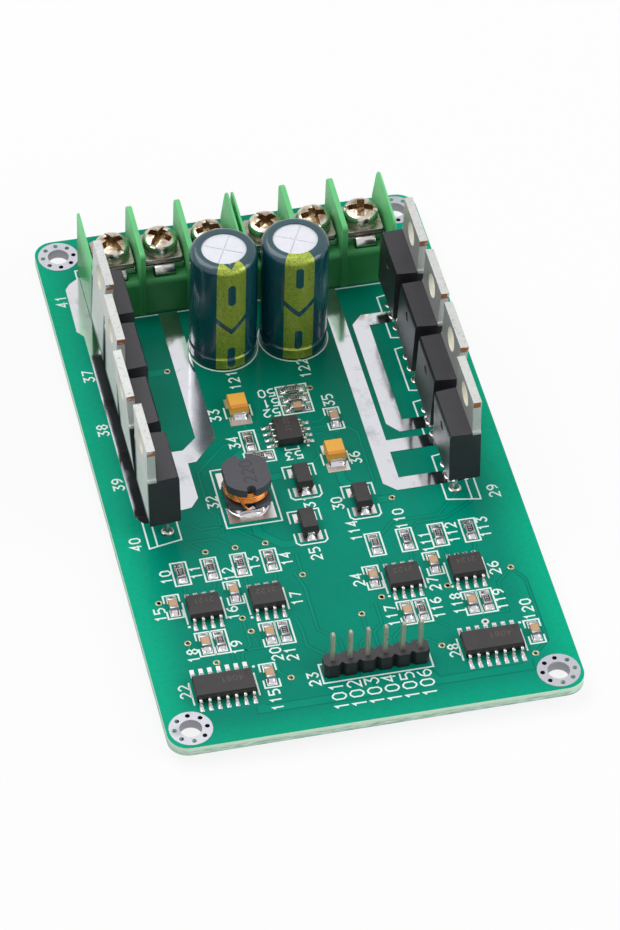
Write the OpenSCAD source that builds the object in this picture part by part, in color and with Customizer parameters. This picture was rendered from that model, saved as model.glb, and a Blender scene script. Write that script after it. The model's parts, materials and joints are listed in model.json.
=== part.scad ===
// Two-channel DC motor driver module: a printed circuit board with two rows of
// standing power transistors, two screw terminal blocks, two electrolytic
// capacitors, a converter section, gate driver and logic chips and a pin header.
// Millimetres. X runs across the board, Y along it towards the terminal blocks,
// Z up. The origin is under the middle of the board, level with the tips of the
// cropped leads that stand out below it.

/* [Board] */
// Width of the board, across X
board_w = 60; // [58:0.5:66]
// Length of the board, along Y
board_l = 105; // [103:0.5:112]
// Thickness of the board
board_t = 1.6; // [1:0.1:2.4]
// Radius of the board's corners
corner_r = 3; // [1:0.5:4]
// How far the cropped leads stand out below the board
lead_out = 1.6; // [1:0.1:3]
// Thickness of bare tinned copper on the board
copper_t = 0.1; // [0.05:0.01:0.15]

/* [Mounting holes] */
// Diameter of each mounting hole
mount_d = 3.2; // [2.6:0.1:3.6]
// From the board's edges to each mounting hole's centre
mount_inset = 3.5; // [3.3:0.1:4.2]
// Outer diameter of the tinned ring round each mounting hole
ring_d = 6.2; // [5.8:0.1:6.4]
// Diameter of the small plated holes in each ring
ring_via_d = 0.7; // [0.5:0.05:0.8]
// Number of small plated holes in each ring
ring_via_count = 8; // [4:1:12]

/* [Terminal blocks] */
// Wire positions in each block
poles = 3; // [2:1:3]
// Spacing of the wire positions
pole_pitch = 7.4; // [7:0.1:7.6]
// Thickness of each dividing fin
fin_t = 1; // [0.8:0.1:1.4]
// Height of the fins' back corners above the board
fin_h = 12.9; // [12:0.1:15]
// Depth of a block from front to back
block_d = 11.2; // [10.8:0.1:12.5]
// From the board's back edge to the blocks' back faces
block_setback = 7.4; // [7:0.1:8]
// Gap between the two blocks
block_gap = 0.5; // [0.3:0.05:0.8]
// How far the blocks sit off the board's centre line
block_shift = -0.8; // [-1.2:0.1:0]
// Height of the ledge that the contacts lie on
ledge_h = 6.5; // [5.8:0.1:7.2]
// Thickness of the contact plates and their solder pins
contact_t = 0.8; // [0.6:0.1:1]
// Width of the hook at the front of each contact plate
hook_w = 3; // [2.4:0.1:3.6]
// Thickness of the square clamp washers
washer_t = 0.8; // [0.6:0.05:1.1]
// Opening between a contact plate and its washer
clamp_gap = 0.1; // [0.05:0.05:0.8]
// Diameter of a clamp screw's head
screw_head_d = 5.3; // [4.6:0.1:5.6]
// Height of a clamp screw's head
screw_head_h = 2.4; // [2:0.1:2.8]
// Diameter of a clamp screw's shank
screw_d = 2.9; // [2.6:0.1:3.2]

/* [Capacitors] */
// Diameter of each capacitor's can
can_d = 9.7; // [9:0.1:10.2]
// Height of each capacitor above the board
can_h = 20.2; // [16:0.2:25]
// Thickness of the shrink sleeve
sleeve_t = 0.22; // [0.1:0.02:0.3]
// Spacing of the two capacitors
can_pitch = 10.8; // [10.7:0.1:11.4]
// From the blocks' front face to the capacitors' centre line
can_setback = 9.3; // [8:0.1:10.5]
// Spacing of a capacitor's two leads
can_lead_pitch = 5; // [4:0.1:5.5]
// Diameter of the capacitor leads
can_lead_d = 0.6; // [0.5:0.05:0.8]

/* [Power transistors] */
// Transistors in each row
per_row = 4; // [4:1:4]
// Spacing of the transistors along a row
row_pitch = 11.55; // [10.8:0.05:11.8]
// Width of a transistor's body
body_w = 9.8; // [9.4:0.1:10.2]
// Height of a transistor's plastic body
body_h = 9.1; // [8.4:0.1:9.6]
// Thickness of a transistor from the tab's back to the plastic face
body_d = 4.6; // [4.2:0.1:4.9]
// Thickness of the metal tab
tab_t = 1.25; // [1:0.05:1.4]
// Height from the body's bottom to the top of the tab
tab_h = 15.35; // [14.6:0.05:16]
// Diameter of the hole in the tab
tab_hole_d = 3.7; // [3.4:0.05:4]
// From the top of the tab to the centre of its hole
tab_hole_drop = 2.8; // [2.6:0.05:3.2]
// Height of the bodies above the board
leg_h = 4.1; // [3:0.1:5]
// Spacing of the legs
leg_pitch = 2.54; // [2.4:0.02:2.6]
// From the tab's back face to the middle of the legs
leg_depth = 3; // [2.6:0.1:3.1]
// Width of a leg where it goes through the board
leg_w = 0.75; // [0.6:0.05:0.85]
// Thickness of a leg
leg_t = 0.5; // [0.4:0.05:0.6]
// From the board's left edge to the left row of legs
left_inset = 8; // [7.5:0.1:8.5]
// From the board's right edge to the right row of legs
right_inset = 9.1; // [8.6:0.1:9.6]

/* [Small parts] */
// Spacing of the header's pins
header_pitch = 2.54; // [2.4:0.02:2.6]
// Number of header pins
header_pins_n = 6; // [4:1:6]
// Side of a header pin
header_pin_w = 0.64; // [0.5:0.02:0.7]
// Length of the header pins above their black strip
header_pin_out = 5.5; // [4:0.1:7]
// Height of the header's black strip
strip_h = 2.54; // [2:0.02:3]
// Height of the surface-mount chips' bodies
chip_h = 1.5; // [1.2:0.05:1.7]
// Width of the surface-mount chips' bodies
chip_w = 3.9; // [3.6:0.1:4]
// Spacing of the surface-mount chips' leads
chip_pitch = 1.27; // [1.2:0.01:1.3]
// Distance over the tips of a chip's leads
chip_span = 6; // [5.8:0.1:6.2]
// Length of the chip resistors and ceramic capacitors
rc_l = 2; // [1.8:0.1:2.2]
// Width of the chip resistors and ceramic capacitors
rc_w = 1.25; // [1.1:0.05:1.4]
// Diameter of the inductor's flanges
drum_d = 7.6; // [7.2:0.1:8]
// Height of the inductor
drum_h = 4.8; // [4.4:0.1:5.6]

/* [Hidden] */
$fn = 48;

// Colours
mask_green = "#009878";
tin = "#d4d4dc";
block_green = "#4fa869";
nickel = "#c9c4b8";
sleeve_teal = "#0c3c44";
can_white = "#e6e6ec";
black_plastic = "#2b2b30";
tab_grey = "#c4ccca";
ferrite = "#55565e";
copper = "#e08a30";
tantalum_yellow = "#e6a838";
ceramic_tan = "#cfa070";
resistor_black = "#33302f";

// Clearances and small allowances
fit_gap = 0.05;
barrel_gap = 0.02;
over = 0.5;

// Heights above the origin
top_z = lead_out + board_t;
pad_t = 0.05;

// Mounting holes
mount_x = board_w / 2 - mount_inset;
mount_y = board_l / 2 - mount_inset;
ring_via_r = (mount_d + ring_d) / 4;

// Terminal blocks
block_back_y = board_l / 2 - block_setback;
block_front_y = block_back_y - block_d;
block_w = poles * pole_pitch + fin_t;
block_x = (block_w + block_gap) / 2;
pole_x = [for (i = [0:poles - 1]) (i - (poles - 1) / 2) * pole_pitch];
trough_w = pole_pitch - fin_t;
rib_proud = 0.25;
ledge_round = 0.8;
fin_corner_r = 1.3;
fin_front_r = 0.7;
// The fins' tops slope down to the front, and their sides draw in to these widths
fin_drop = 0.7;
fin_tip_inner = 0.8;
fin_tip_outer = 0.3;
rear_step_d = 1.9;
rear_step_h = ledge_h - 1.7;
slot_front = 1;
slot_w = hook_w + 0.3;
contact_w = trough_w - 0.4;
contact_front = slot_front + contact_t + 0.35;
screw_y = contact_front + 3.15;
contact_back = screw_y + 3;
// The contact plate lies on a low seat moulded on the ledge
seat_h = 0.5;
plate_z = ledge_h + seat_h;
contact_top = plate_z + contact_t;
washer_z = contact_top + clamp_gap;
washer_top = washer_z + washer_t;
washer_l = 6;
screw_bottom = ledge_h - 3.8;
screw_turn = [25, -38, 10, 32, 4, 78];
pin_w = 1.2;
pin_y = slot_front + contact_t / 2 + 0.15;

// Capacitors
can_y = block_front_y - can_setback;
can_mid_x = block_shift + 0.15;
can_x = [can_mid_x - can_pitch / 2, can_mid_x + can_pitch / 2];
can_lift = 0.3;
bead_z = 2.4;
bead_r = 0.5;
seal_t = 1.8;
sleeve_r = can_d / 2 + sleeve_t;
vent_r = 3.35;

// Transistor rows: 1 to 4 are the left row from front to back, 5 to 8 the right
left_x = -board_w / 2 + left_inset;
right_x = board_w / 2 - right_inset;
// From the blocks' front face to the middle of the rows
row_setback = 25.3;
row_mid_y = block_front_y - row_setback;
leg_hole_d = 1.05;
plastic_w = 0.4;
row_y = [for (i = [0:per_row - 1]) row_mid_y + (i - (per_row - 1) / 2) * row_pitch];
// Sideways lean of each transistor, outwards positive, in degrees
left_lean = [1.8, 4.2, 0.5, -2];
right_lean = [-1.6, 2.2, 2.2, 0.8];
shoulder_w = 1.25;
shoulder_foot = 0.35;

// Header, chips and other small parts
header_x = 1.45;
header_y = -board_l / 2 + 9.86;
strip_w = 2.5;
chip_lift = 0.15;
chip_lead_t = 0.2;
chip_lead_w = 0.42;
driver_y = header_y + 15.04;
driver_x = [left_x + 2, left_x + 11.1, right_x - 11.7, right_x - 2.4];
logic_at = [[left_x + 1.6, header_y - 0.16], [right_x - 2.4, header_y + 0.29]];
converter_at = [-0.6, row_mid_y - 4.15];
chip_8_l = 4.9;
chip_14_l = 8.65;
chip_8_pad_reach = 3.6;
chip_14_pad_reach = 3.97;
logic_pad_y = header_y + 0.31;
chip_pad = [0.62, 1.6];
drum_at = [-9.3, row_mid_y - 15.1];
drum_pad = [7, 3.2];
drum_pad_y = 3.6;
drum_flat = drum_d - 1;
drum_lift = 0.15;
flange_t = 1.15;
top_flange_t = 1.4;
notch_r = 0.65;
notch_in = 0.4;
post_r = 1.8;
wire_d = 0.4;
winding_r = 3.3;
tantalum_at = [[-6.75, row_mid_y + 2.45], [5.2, row_mid_y - 9.85]];
tantalum_l = 3.2;
tantalum_w = 2.8;
tantalum_h = 2;
tantalum_pad = [3.3, 1.9];
tantalum_pad_y = [-2.3, 1.5];
diode_at = [
    [-0.65, row_mid_y - 14.05], [-1.9, row_mid_y - 23.1], [6.9, row_mid_y - 19.65]
];
diode_l = 4.2;
diode_w = 2.55;
diode_h = 2.1;
diode_pad = [3.4, 1.8];
diode_pad_y = 1.93;
rc_h = 0.5;
cap_h = 0.85;
rc_cap = 0.4;
rc_skin = 0.03;
rc_pad_l = 1.35;
rc_pad_reach = 1.98;
// The small parts stand in three groups: a channel by each row of transistors and the
// converter between them. Each is x, y and its turn in degrees; 0 lies along Y.
left_channel = [left_x, driver_y];
right_channel = [right_x, driver_y];
converter = [0, row_mid_y];
gate_y = 7.7;
sense_y = -6.3;

function placed(origin, places) =
    [for (p = places) [p[0] + origin[0], p[1] + origin[1], p[2]]];

resistor_at = concat(
    placed(left_channel, [
        [0.15, gate_y, 0], [4.58, gate_y, 0], [8.95, gate_y, 0], [13.35, gate_y, 0],
        [2.95, sense_y, 0], [12.3, sense_y, 0]
    ]),
    placed(right_channel, [
        [-14.05, gate_y, 0], [-9.36, gate_y, 0], [-4.66, gate_y, 0], [0.06, gate_y, 0],
        [-10.52, sense_y, 0], [-1, sense_y, 0]
    ]),
    placed(converter, [[-6.44, -4.4, 0], [-5.6, -7.8, 90], [2.05, 4.85, 90], [2.05, 2.9, 90]])
);
ceramic_at = concat(
    placed(left_channel, [
        [0.8, sense_y, 0], [10.1, sense_y, 0], [-2.18, 1.65, 0], [6.83, 2.6, 0],
        [8.4, -13.96, 0]
    ]),
    placed(right_channel, [
        [-12.7, sense_y, 0], [-3.2, sense_y, 0], [-15.87, 1.4, 0], [-6.74, 2.35, 0],
        [4.17, -13.5, 0]
    ]),
    placed(converter, [[6.88, -2.2, 0], [2.05, 0.95, 90]])
);
via_at = concat(
    placed(left_channel, [
        [-4.05, 2.7, 0], [-1.6, -5.7, 0], [1.6, -10.1, 0], [7, -2.55, 0], [7.65, -5.25, 0],
        [17.25, 4, 0], [11.25, -15, 0], [4.5, 11.2, 0], [8.9, 11.2, 0], [13.35, 11.2, 0]
    ]),
    placed(right_channel, [
        [-15.55, -2.6, 0], [-5.75, -2.35, 0], [-19.1, -5.2, 0], [4, -0.7, 0],
        [-2.25, -10.25, 0], [-9.4, -13.45, 0], [3.25, -17.6, 0]
    ]),
    placed(converter, [[-15.3, 12.5, 0], [4.8, 4.8, 0], [11.45, -19.85, 0]])
);
via_d = 0.5;
via_ring_d = 1.1;

// Helpers
module on_board() {
    translate([0, 0, top_z]) children();
}

// A block standing on z = 0, centred in x and y
module slab(size) {
    translate([-size[0] / 2, -size[1] / 2, 0]) cube(size);
}

// A profile drawn in Y and Z, extruded along X about x = 0
module along_x(w) {
    translate([-w / 2, 0, 0]) rotate([90, 0, 90]) linear_extrude(height = w) children();
}

// A profile drawn in X and Z, extruded along Y about y = 0
module along_y(w) {
    translate([0, w / 2, 0]) rotate([90, 0, 0]) linear_extrude(height = w) children();
}

// A moulded body whose sides slope away from a parting line, all round
module drafted(l, w, z0, z1, part_z, slope) {
    intersection() {
        along_x(l + over) polygon([
            [-w / 2 + slope, z0], [w / 2 - slope, z0], [w / 2, part_z],
            [w / 2 - slope, z1], [-w / 2 + slope, z1], [-w / 2, part_z]
        ]);
        along_y(w + over) polygon([
            [-l / 2 + slope, z0], [l / 2 - slope, z0], [l / 2, part_z],
            [l / 2 - slope, z1], [-l / 2 + slope, z1], [-l / 2, part_z]
        ]);
    }
}

module rounded_rect(w, l, r) {
    difference() {
        square([w, l], center = true);
        for (sx = [-1, 1], sy = [-1, 1])
            translate([sx * w / 2, sy * l / 2]) difference() {
                square(2 * r, center = true);
                translate([-sx * r, -sy * r]) circle(r);
            }
    }
}

// Places
module at_mounts() {
    for (sx = [-1, 1], sy = [-1, 1]) translate([sx * mount_x, sy * mount_y, 0]) children();
}

module at_block(side) {
    translate([block_shift + side * block_x, block_front_y, top_z]) children();
}

module at_transistor(i) {
    left = i <= per_row;
    k = left ? i - 1 : i - 1 - per_row;
    translate([left ? left_x : right_x, row_y[k], top_z]) mirror([left ? 1 : 0, 0, 0])
        children();
}

function lean_of(i) = i <= per_row ? left_lean[i - 1] : right_lean[i - 1 - per_row];

// Leans what stands above the legs outwards, about the bottom of the body
module lean(i) {
    translate([0, 0, leg_h]) rotate([0, lean_of(i), 0]) children();
}

module at_each_leg() {
    for (i = [1:2 * per_row]) at_transistor(i)
        for (k = [-1:1]) translate([0, k * leg_pitch, -top_z]) children();
}

module at_terminal_pins() {
    for (side = [-1, 1], x = pole_x)
        translate([block_shift + side * block_x + x, block_front_y + pin_y, 0]) children();
}

module at_header_pins() {
    for (i = [0:header_pins_n - 1])
        translate([header_x + (i - (header_pins_n - 1) / 2) * header_pitch, header_y, 0])
            children();
}

module at_capacitor_leads() {
    for (x = can_x, s = [-1, 1])
        translate([x + s * can_lead_pitch / 2, can_y, 0]) children();
}

// Board and bare metal
module board() {
    color(mask_green) translate([0, 0, lead_out]) difference() {
        linear_extrude(height = board_t) rounded_rect(board_w, board_l, corner_r);
        at_mounts() drill(mount_d);
        at_mounts() at_ring_vias() drill(ring_via_d);
        at_each_leg() drill(leg_hole_d);
        at_terminal_pins() drill(pin_w + 0.4);
        at_header_pins() drill(header_pin_w + 0.4);
        at_capacitor_leads() drill(can_lead_d + 0.3);
        for (p = via_at) translate(p) drill(via_d);
    }
}

module drill(d) {
    translate([0, 0, -over]) cylinder(h = board_t + 2 * over, d = d);
}

module at_ring_vias() {
    for (k = [0:ring_via_count - 1]) rotate([0, 0, k * 360 / ring_via_count])
        translate([0, ring_via_r, 0]) children();
}

// A flat tinned ring on each face of the board at each mounting hole
module mounting_pads() {
    color(tin) at_mounts() for (z = [lead_out - pad_t, top_z]) translate([0, 0, z])
        difference() {
            cylinder(h = pad_t, d = ring_d);
            translate([0, 0, -over]) cylinder(h = pad_t + 2 * over, d = mount_d);
            at_ring_vias() translate([0, 0, -over])
                cylinder(h = pad_t + 2 * over, d = ring_via_d);
        }
}

// Heavy tracks left bare of solder mask and tinned
module power_tracks() {
    lx = left_x;
    rx = right_x;
    f = block_front_y;
    left_pole = block_shift - block_x + pole_x[0] + (poles - 2) * pole_pitch;
    right_pole = block_shift + block_x + pole_x[0] + (poles - 2) * pole_pitch;
    y1 = row_y[0];
    y2 = row_y[1];
    y4 = row_y[3];
    in_w = 2.9;
    bar = 2.45;
    color(tin) on_board() difference() {
        linear_extrude(height = copper_t) {
            // Outer strip beside the left row, wider by the terminal block
            polygon([
                [lx - 4, y1 + 1], [lx - 3, y1 - 0.4], [lx - 1.4, y1 - 0.4],
                [lx - 1.4, f + 9.5], [lx - 2.3, f + 9.9], [lx - 4, f + 8.7],
                [lx - 4.8, f + 7.6], [lx - 4.9, f - 1.8], [lx - 4, f - 3]
            ]);
            // From the left block's middle pole to the front of the left row
            polygon([
                [left_pole - in_w / 2, f + 1], [left_pole + in_w / 2, f + 1],
                [left_pole + in_w / 2, y2 + 3.05], [left_pole - 2.3, y2 - 1.15],
                [left_pole - 3.6, y2 - 1.25], [left_pole - 3.6, y1 + 3.1],
                [left_pole - 4.9, y1 + 1.4], [left_pole - 6.1, y1 + 1.2], [lx, y1 + 1.2],
                [lx, y2 + 1.5], [left_pole - 3.8, y2 + 1.5],
                [left_pole - in_w / 2, y2 + 3.7]
            ]);
            // Comb beside the right row, fed from the right block
            polygon([
                [right_pole - 0.25, f + 1], [right_pole - 0.25, y1 + 0.45],
                [right_pole + 1.5, y1 - 1.25], [rx + 2.4, y1 - 1.25],
                [rx + 2.4, y1 + 1.2], [right_pole + 2.3, y1 + 1.2],
                [right_pole + 2.3, y2 - 5], [rx + 2.4, y2 - 5],
                [rx + 2.4, y2 - 5 + bar], [right_pole + 2.3, y2 - 5 + bar],
                [right_pole + 2.3, f + 1]
            ]);
            // Hook between the second and fourth transistors of the right row
            polygon([
                [right_pole + 3.1, y2 + 0.8], [right_pole + 4.7, y2 - 1.15],
                [rx + 2.4, y2 - 1.15], [rx + 2.4, y2 + 1.25], [right_pole + 5.6, y2 + 1.25],
                [right_pole + 5.6, y4 - 1.25], [rx + 2.4, y4 - 1.25],
                [rx + 2.4, y4 + 1.15], [right_pole + 4.8, y4 + 1.15],
                [right_pole + 3.1, y4 - 0.7]
            ]);
        }
        translate([0, 0, -top_z - over])
            at_each_leg() cylinder(h = top_z + copper_t + 2 * over, r = joint_r + fit_gap);
        under_blocks();
        under_cans();
    }
}

// Room that the tracks leave for the blocks, which stand on the board itself
module under_blocks() {
    for (side = [-1, 1])
        translate([block_shift + side * block_x, block_front_y - rib_proud - fit_gap, -over])
            slabs_y([block_w + 2 * fit_gap, block_d + rib_proud + 2 * fit_gap, 2 * over]);
}

module slabs_y(size) {
    translate([-size[0] / 2, 0, 0]) cube(size);
}

module under_cans() {
    for (x = can_x) translate([x, can_y, -over])
        cylinder(h = 2 * over, r = sleeve_r + fit_gap);
}

// Solder pads for the surface-mount parts, and the rings of the plated holes
module component_pads() {
    color(tin) on_board() {
        for (p = concat(resistor_at, ceramic_at)) translate([p[0], p[1], 0])
            rotate([0, 0, p[2]]) for (s = [-1, 1])
                translate([0, s * (rc_pad_reach - rc_pad_l / 2), 0])
                    slab([rc_w + 0.2, rc_pad_l, pad_t]);
        for (x = driver_x) translate([x, driver_y, 0])
            chip_pads(4, chip_8_pad_reach);
        translate(concat(converter_at, [0])) rotate([0, 0, 90])
            chip_pads(4, chip_8_pad_reach);
        for (p = logic_at) translate([p[0], logic_pad_y, 0])
            chip_pads(7, chip_14_pad_reach);
        for (p = diode_at, s = [-1, 1]) translate([p[0], p[1] + s * diode_pad_y, 0])
            slab(concat(diode_pad, [pad_t]));
        for (p = tantalum_at, y = tantalum_pad_y) translate([p[0], p[1] + y, 0])
            slab(concat(tantalum_pad, [pad_t]));
        for (s = [-1, 1]) translate([drum_at[0], drum_at[1] + s * drum_pad_y, 0])
            slab(concat(drum_pad, [pad_t]));
        for (p = via_at) translate(p) difference() {
            cylinder(h = pad_t, d = via_ring_d);
            translate([0, 0, -over]) cylinder(h = 2 * over, d = via_d);
        }
    }
}

module chip_pads(n, reach) {
    for (i = [0:n - 1], s = [-1, 1])
        translate([(i - (n - 1) / 2) * chip_pitch, s * (reach - chip_pad[1] / 2), 0])
            slab(concat(chip_pad, [pad_t]));
}

// Solder: a barrel in the plated hole with a fillet on each face of the board
joint_r = 0.95;
joint_h = 0.75;

module solder_joints() {
    color(tin) {
        at_each_leg() joint(leg_hole_d, leg_t, leg_w, joint_r);
        at_terminal_pins() joint(pin_w + 0.4, pin_w, contact_t, 1.3, below_only = true);
        at_header_pins() joint(header_pin_w + 0.4, header_pin_w, header_pin_w, 0.85,
            below_only = true);
        at_capacitor_leads() difference() {
            joint_body(can_lead_d + 0.3, 0.9, can_lead_d / 2, below_only = true);
            translate([0, 0, -over]) cylinder(h = top_z + 2 * over, d = can_lead_d);
        }
    }
}

// A joint round a rectangular lead; below_only where a part covers the top
module joint(hole, a, b, r, below_only = false) {
    difference() {
        joint_body(hole, r, max(a, b) / 2, below_only);
        translate([0, 0, -over]) slab([a, b, top_z + joint_h + 2 * over]);
    }
}

module joint_body(hole, r, lead_r, below_only) {
    neck = min(lead_r + 0.12, r - 0.2);
    rotate_extrude() {
        translate([0, lead_out]) square([hole / 2 - barrel_gap, board_t]);
        fillet_down(r, neck);
        if (!below_only) translate([0, top_z]) fillet_up(r, neck);
    }
}

module fillet_up(r, neck) {
    difference() {
        square([r, joint_h]);
        translate([r + 0.05, joint_h]) scale_circle(r - neck + 0.05, joint_h - 0.08);
    }
}

// An ellipse drawn as a many-sided outline
module scale_circle(a, b) {
    polygon([for (k = [0:35]) [a * cos(k * 10), b * sin(k * 10)]]);
}

module fillet_down(r, neck) {
    translate([0, lead_out]) mirror([0, 1]) fillet_up(r, neck);
}

// Terminal blocks
module fin_profile() {
    r = fin_corner_r;
    q = fin_front_r;
    polygon(concat(
        [[-rib_proud, 0], [block_d, 0]],
        [for (a = [0:15:90]) [block_d - r * (1 - cos(a)), fin_h - r * (1 - sin(a))]],
        [for (a = [90:15:180])
            [-rib_proud + q * (1 + cos(a)), fin_h - fin_drop - q * (1 - sin(a))]]
    ));
}

// A fin draws in towards its top: the middle ones on both sides, and the end ones
// on their inner side only, so that the blocks can stand side by side
module fin(i) {
    t = fin_t / 2;
    left_tip = i == 0 ? -t : i == poles ? t - fin_tip_outer : -fin_tip_inner / 2;
    right_tip = i == poles ? t : i == 0 ? fin_tip_outer - t : fin_tip_inner / 2;
    intersection() {
        along_x(fin_t + over) fin_profile();
        translate([0, block_d / 2, 0]) along_y(block_d + 2) polygon([
            [-t, -over], [t, -over], [t, ledge_h + 1], [right_tip, fin_h],
            [right_tip, fin_h + over], [left_tip, fin_h + over], [left_tip, fin_h],
            [-t, ledge_h + 1]
        ]);
    }
}

module ledge_profile() {
    difference() {
        union() {
            square([block_d - rear_step_d, ledge_h]);
            square([block_d, rear_step_h]);
        }
        translate([0, ledge_h]) difference() {
            square(2 * ledge_round, center = true);
            translate([ledge_round, -ledge_round]) circle(ledge_round);
        }
    }
}

module terminal_block(side) {
    color(block_green) at_block(side) difference() {
        union() {
            along_x(block_w) ledge_profile();
            for (i = [0:poles]) translate([(i - poles / 2) * pole_pitch, 0, 0]) fin(i);
            for (x = pole_x) translate([x, contact_front + fit_gap, ledge_h - over])
                slabs_y([contact_w, contact_back - contact_front - 0.3, over + seat_h]);
        }
        for (x = pole_x) translate([x, 0, 0]) {
            // Slot that the contact's hook and solder pin go down through
            translate([0, slot_front, -over])
                slabs_y([slot_w, contact_front + fit_gap - slot_front, ledge_h + 2 * over]);
            // Well for the end of the clamp screw
            translate([0, screw_y, screw_bottom - 0.6])
                cylinder(h = ledge_h, d = screw_d + 0.9);
            // Sink under the block, as moulded to keep its walls even
            translate([0, screw_y + 0.6, -over])
                slabs_y([trough_w - 1.2, 3.4, over + 1.2]);
        }
    }
}

module terminal_block_left() { terminal_block(-1); }
module terminal_block_right() { terminal_block(1); }

// Contact: a flat plate, bent down at the front into a hook that ends in a pin
module contact() {
    y0 = pin_y - contact_t / 2;
    bend_r = contact_front - y0;
    difference() {
        union() {
            translate([0, contact_front, plate_z])
                slabs_y([contact_w, contact_back - contact_front, contact_t]);
            along_x(hook_w) hook_profile(y0, bend_r);
            translate([0, y0, -board_t - lead_out])
                slabs_y([pin_w, contact_t, board_t + lead_out + 2.2]);
        }
        translate([0, screw_y, plate_z - over])
            cylinder(h = contact_t + 2 * over, d = screw_d + 2 * fit_gap);
    }
}

// The bend is a quarter ring, and its front leg goes down to where the pin starts
module hook_profile(y0, bend_r) {
    z0 = contact_top - bend_r;
    intersection() {
        translate([contact_front, z0]) difference() {
            circle(bend_r);
            circle(max(bend_r - contact_t, 0.1));
        }
        translate([y0, z0]) square([bend_r, bend_r]);
    }
    translate([y0, 2]) square([contact_t, z0 - 2]);
    translate([contact_front - fit_gap, plate_z]) square([0.5, contact_t]);
}

module terminal_contacts(side) {
    color(tin) at_block(side) for (x = pole_x) translate([x, 0, 0]) contact();
}

module terminal_contacts_left() { terminal_contacts(-1); }
module terminal_contacts_right() { terminal_contacts(1); }

// Square clamp washer
module washer() {
    difference() {
        linear_extrude(height = washer_t) rounded_rect(contact_w, washer_l, 0.5);
        translate([0, 0, -over]) cylinder(h = washer_t + 2 * over, d = screw_d + 0.3);
    }
}

module clamp_washers(side) {
    color(nickel) at_block(side) for (x = pole_x) translate([x, screw_y, washer_z])
        washer();
}

module clamp_washers_left() { clamp_washers(-1); }
module clamp_washers_right() { clamp_washers(1); }

// Pan-head screw with a slot crossed by a cross recess
module screw() {
    difference() {
        rotate_extrude() {
            screw_head_profile();
            translate([0, screw_bottom - washer_top]) {
                square([screw_d / 2 - 0.35, 1]);
                translate([0, 0.4]) square([screw_d / 2, washer_top - screw_bottom]);
            }
        }
        translate([0, 0, screw_head_h - 0.75]) slab([0.9, screw_head_d * 1.1, 2]);
        for (turn = [0, 90]) rotate([0, 0, turn]) translate([0, 0, screw_head_h - 1.5])
            slab([1.1, screw_head_d * 0.7, 3]);
    }
}

// Half the section of a head: a low dome with a well rounded shoulder
module screw_head_profile() {
    r = screw_head_d / 2;
    shoulder = 1.2;
    dome_r = screw_head_d * 1.15;
    difference() {
        intersection() {
            square([r, screw_head_h]);
            translate([0, screw_head_h - dome_r]) circle(dome_r, $fn = 96);
        }
        translate([r, screw_head_h]) difference() {
            square(2 * shoulder, center = true);
            translate([-shoulder, -shoulder]) circle(shoulder);
        }
    }
}

module terminal_screws(side) {
    color(nickel) at_block(side) for (i = [0:poles - 1])
        translate([pole_x[i], screw_y, washer_top])
            rotate([0, 0, screw_turn[i + (side > 0 ? 3 : 0)]]) screw();
}

module terminal_screws_left() { terminal_screws(-1); }
module terminal_screws_right() { terminal_screws(1); }

// Capacitors: a drawn can with a bead rolled in over the rubber seal
module can_outline() {
    r = can_d / 2;
    top_r = 0.9;
    difference() {
        translate([0, can_lift]) square([r, can_h - can_lift - sleeve_t]);
        translate([r + bead_r * 0.45, bead_z]) circle(bead_r);
        translate([r, can_h - sleeve_t]) difference() {
            square(2 * top_r, center = true);
            translate([-top_r, -top_r]) circle(top_r);
        }
    }
}

module capacitor_can(x) {
    vent_w = 0.14;
    color(can_white) on_board() translate([x, can_y, 0]) difference() {
        rotate_extrude() can_outline();
        // Seat of the rubber seal
        translate([0, 0, can_lift - over])
            cylinder(h = seal_t + over, d = can_d - 2 * bead_r - 0.4);
        // Score lines of the vent
        for (a = [0, 90]) rotate([0, 0, a + 15]) translate([0, 0, can_h - sleeve_t - 0.12])
            slab([vent_w, 2 * vent_r - 0.6, 1]);
    }
}

module capacitor_can_left() { capacitor_can(can_x[0]); }
module capacitor_can_right() { capacitor_can(can_x[1]); }

// Shrink sleeve: it follows the bead and rolls over both ends of the can
module capacitor_sleeve(x) {
    r = sleeve_r;
    round_r = 1.1;
    color(sleeve_teal) on_board() translate([x, can_y, 0]) rotate_extrude()
        difference() {
            translate([vent_r, can_lift]) square([r - vent_r, can_h - can_lift]);
            translate([r + bead_r * 0.45, bead_z]) circle(bead_r);
            translate([r, can_h]) difference() {
                square(2 * round_r, center = true);
                translate([-round_r, -round_r]) circle(round_r);
            }
            can_fill();
        }
}

// Space that the can fills inside its sleeve
module can_fill() {
    can_outline();
    translate([0, can_lift - over]) square([can_d / 2 - bead_r, bead_z]);
    translate([0, can_lift - over]) square([can_d / 2, over + 0.01]);
}

module capacitor_sleeve_left() { capacitor_sleeve(can_x[0]); }
module capacitor_sleeve_right() { capacitor_sleeve(can_x[1]); }

module capacitor_seal(x) {
    color("#3a3a3c") on_board() translate([x, can_y, 0]) difference() {
        union() {
            translate([0, 0, can_lift]) cylinder(h = seal_t, d = can_d - 2 * bead_r - 0.4);
            for (s = [-1, 1]) translate([0, s * 2.6, 0]) slab([2.2, 1.2, can_lift + 0.1]);
        }
        for (s = [-1, 1]) translate([s * can_lead_pitch / 2, 0, -over])
            cylinder(h = seal_t + can_lift + 2 * over, d = can_lead_d);
    }
}

module capacitor_seal_left() { capacitor_seal(can_x[0]); }
module capacitor_seal_right() { capacitor_seal(can_x[1]); }

module capacitor_leads() {
    color(tin) at_capacitor_leads()
        cylinder(h = top_z + can_lift + seal_t, d = can_lead_d);
}

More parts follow.
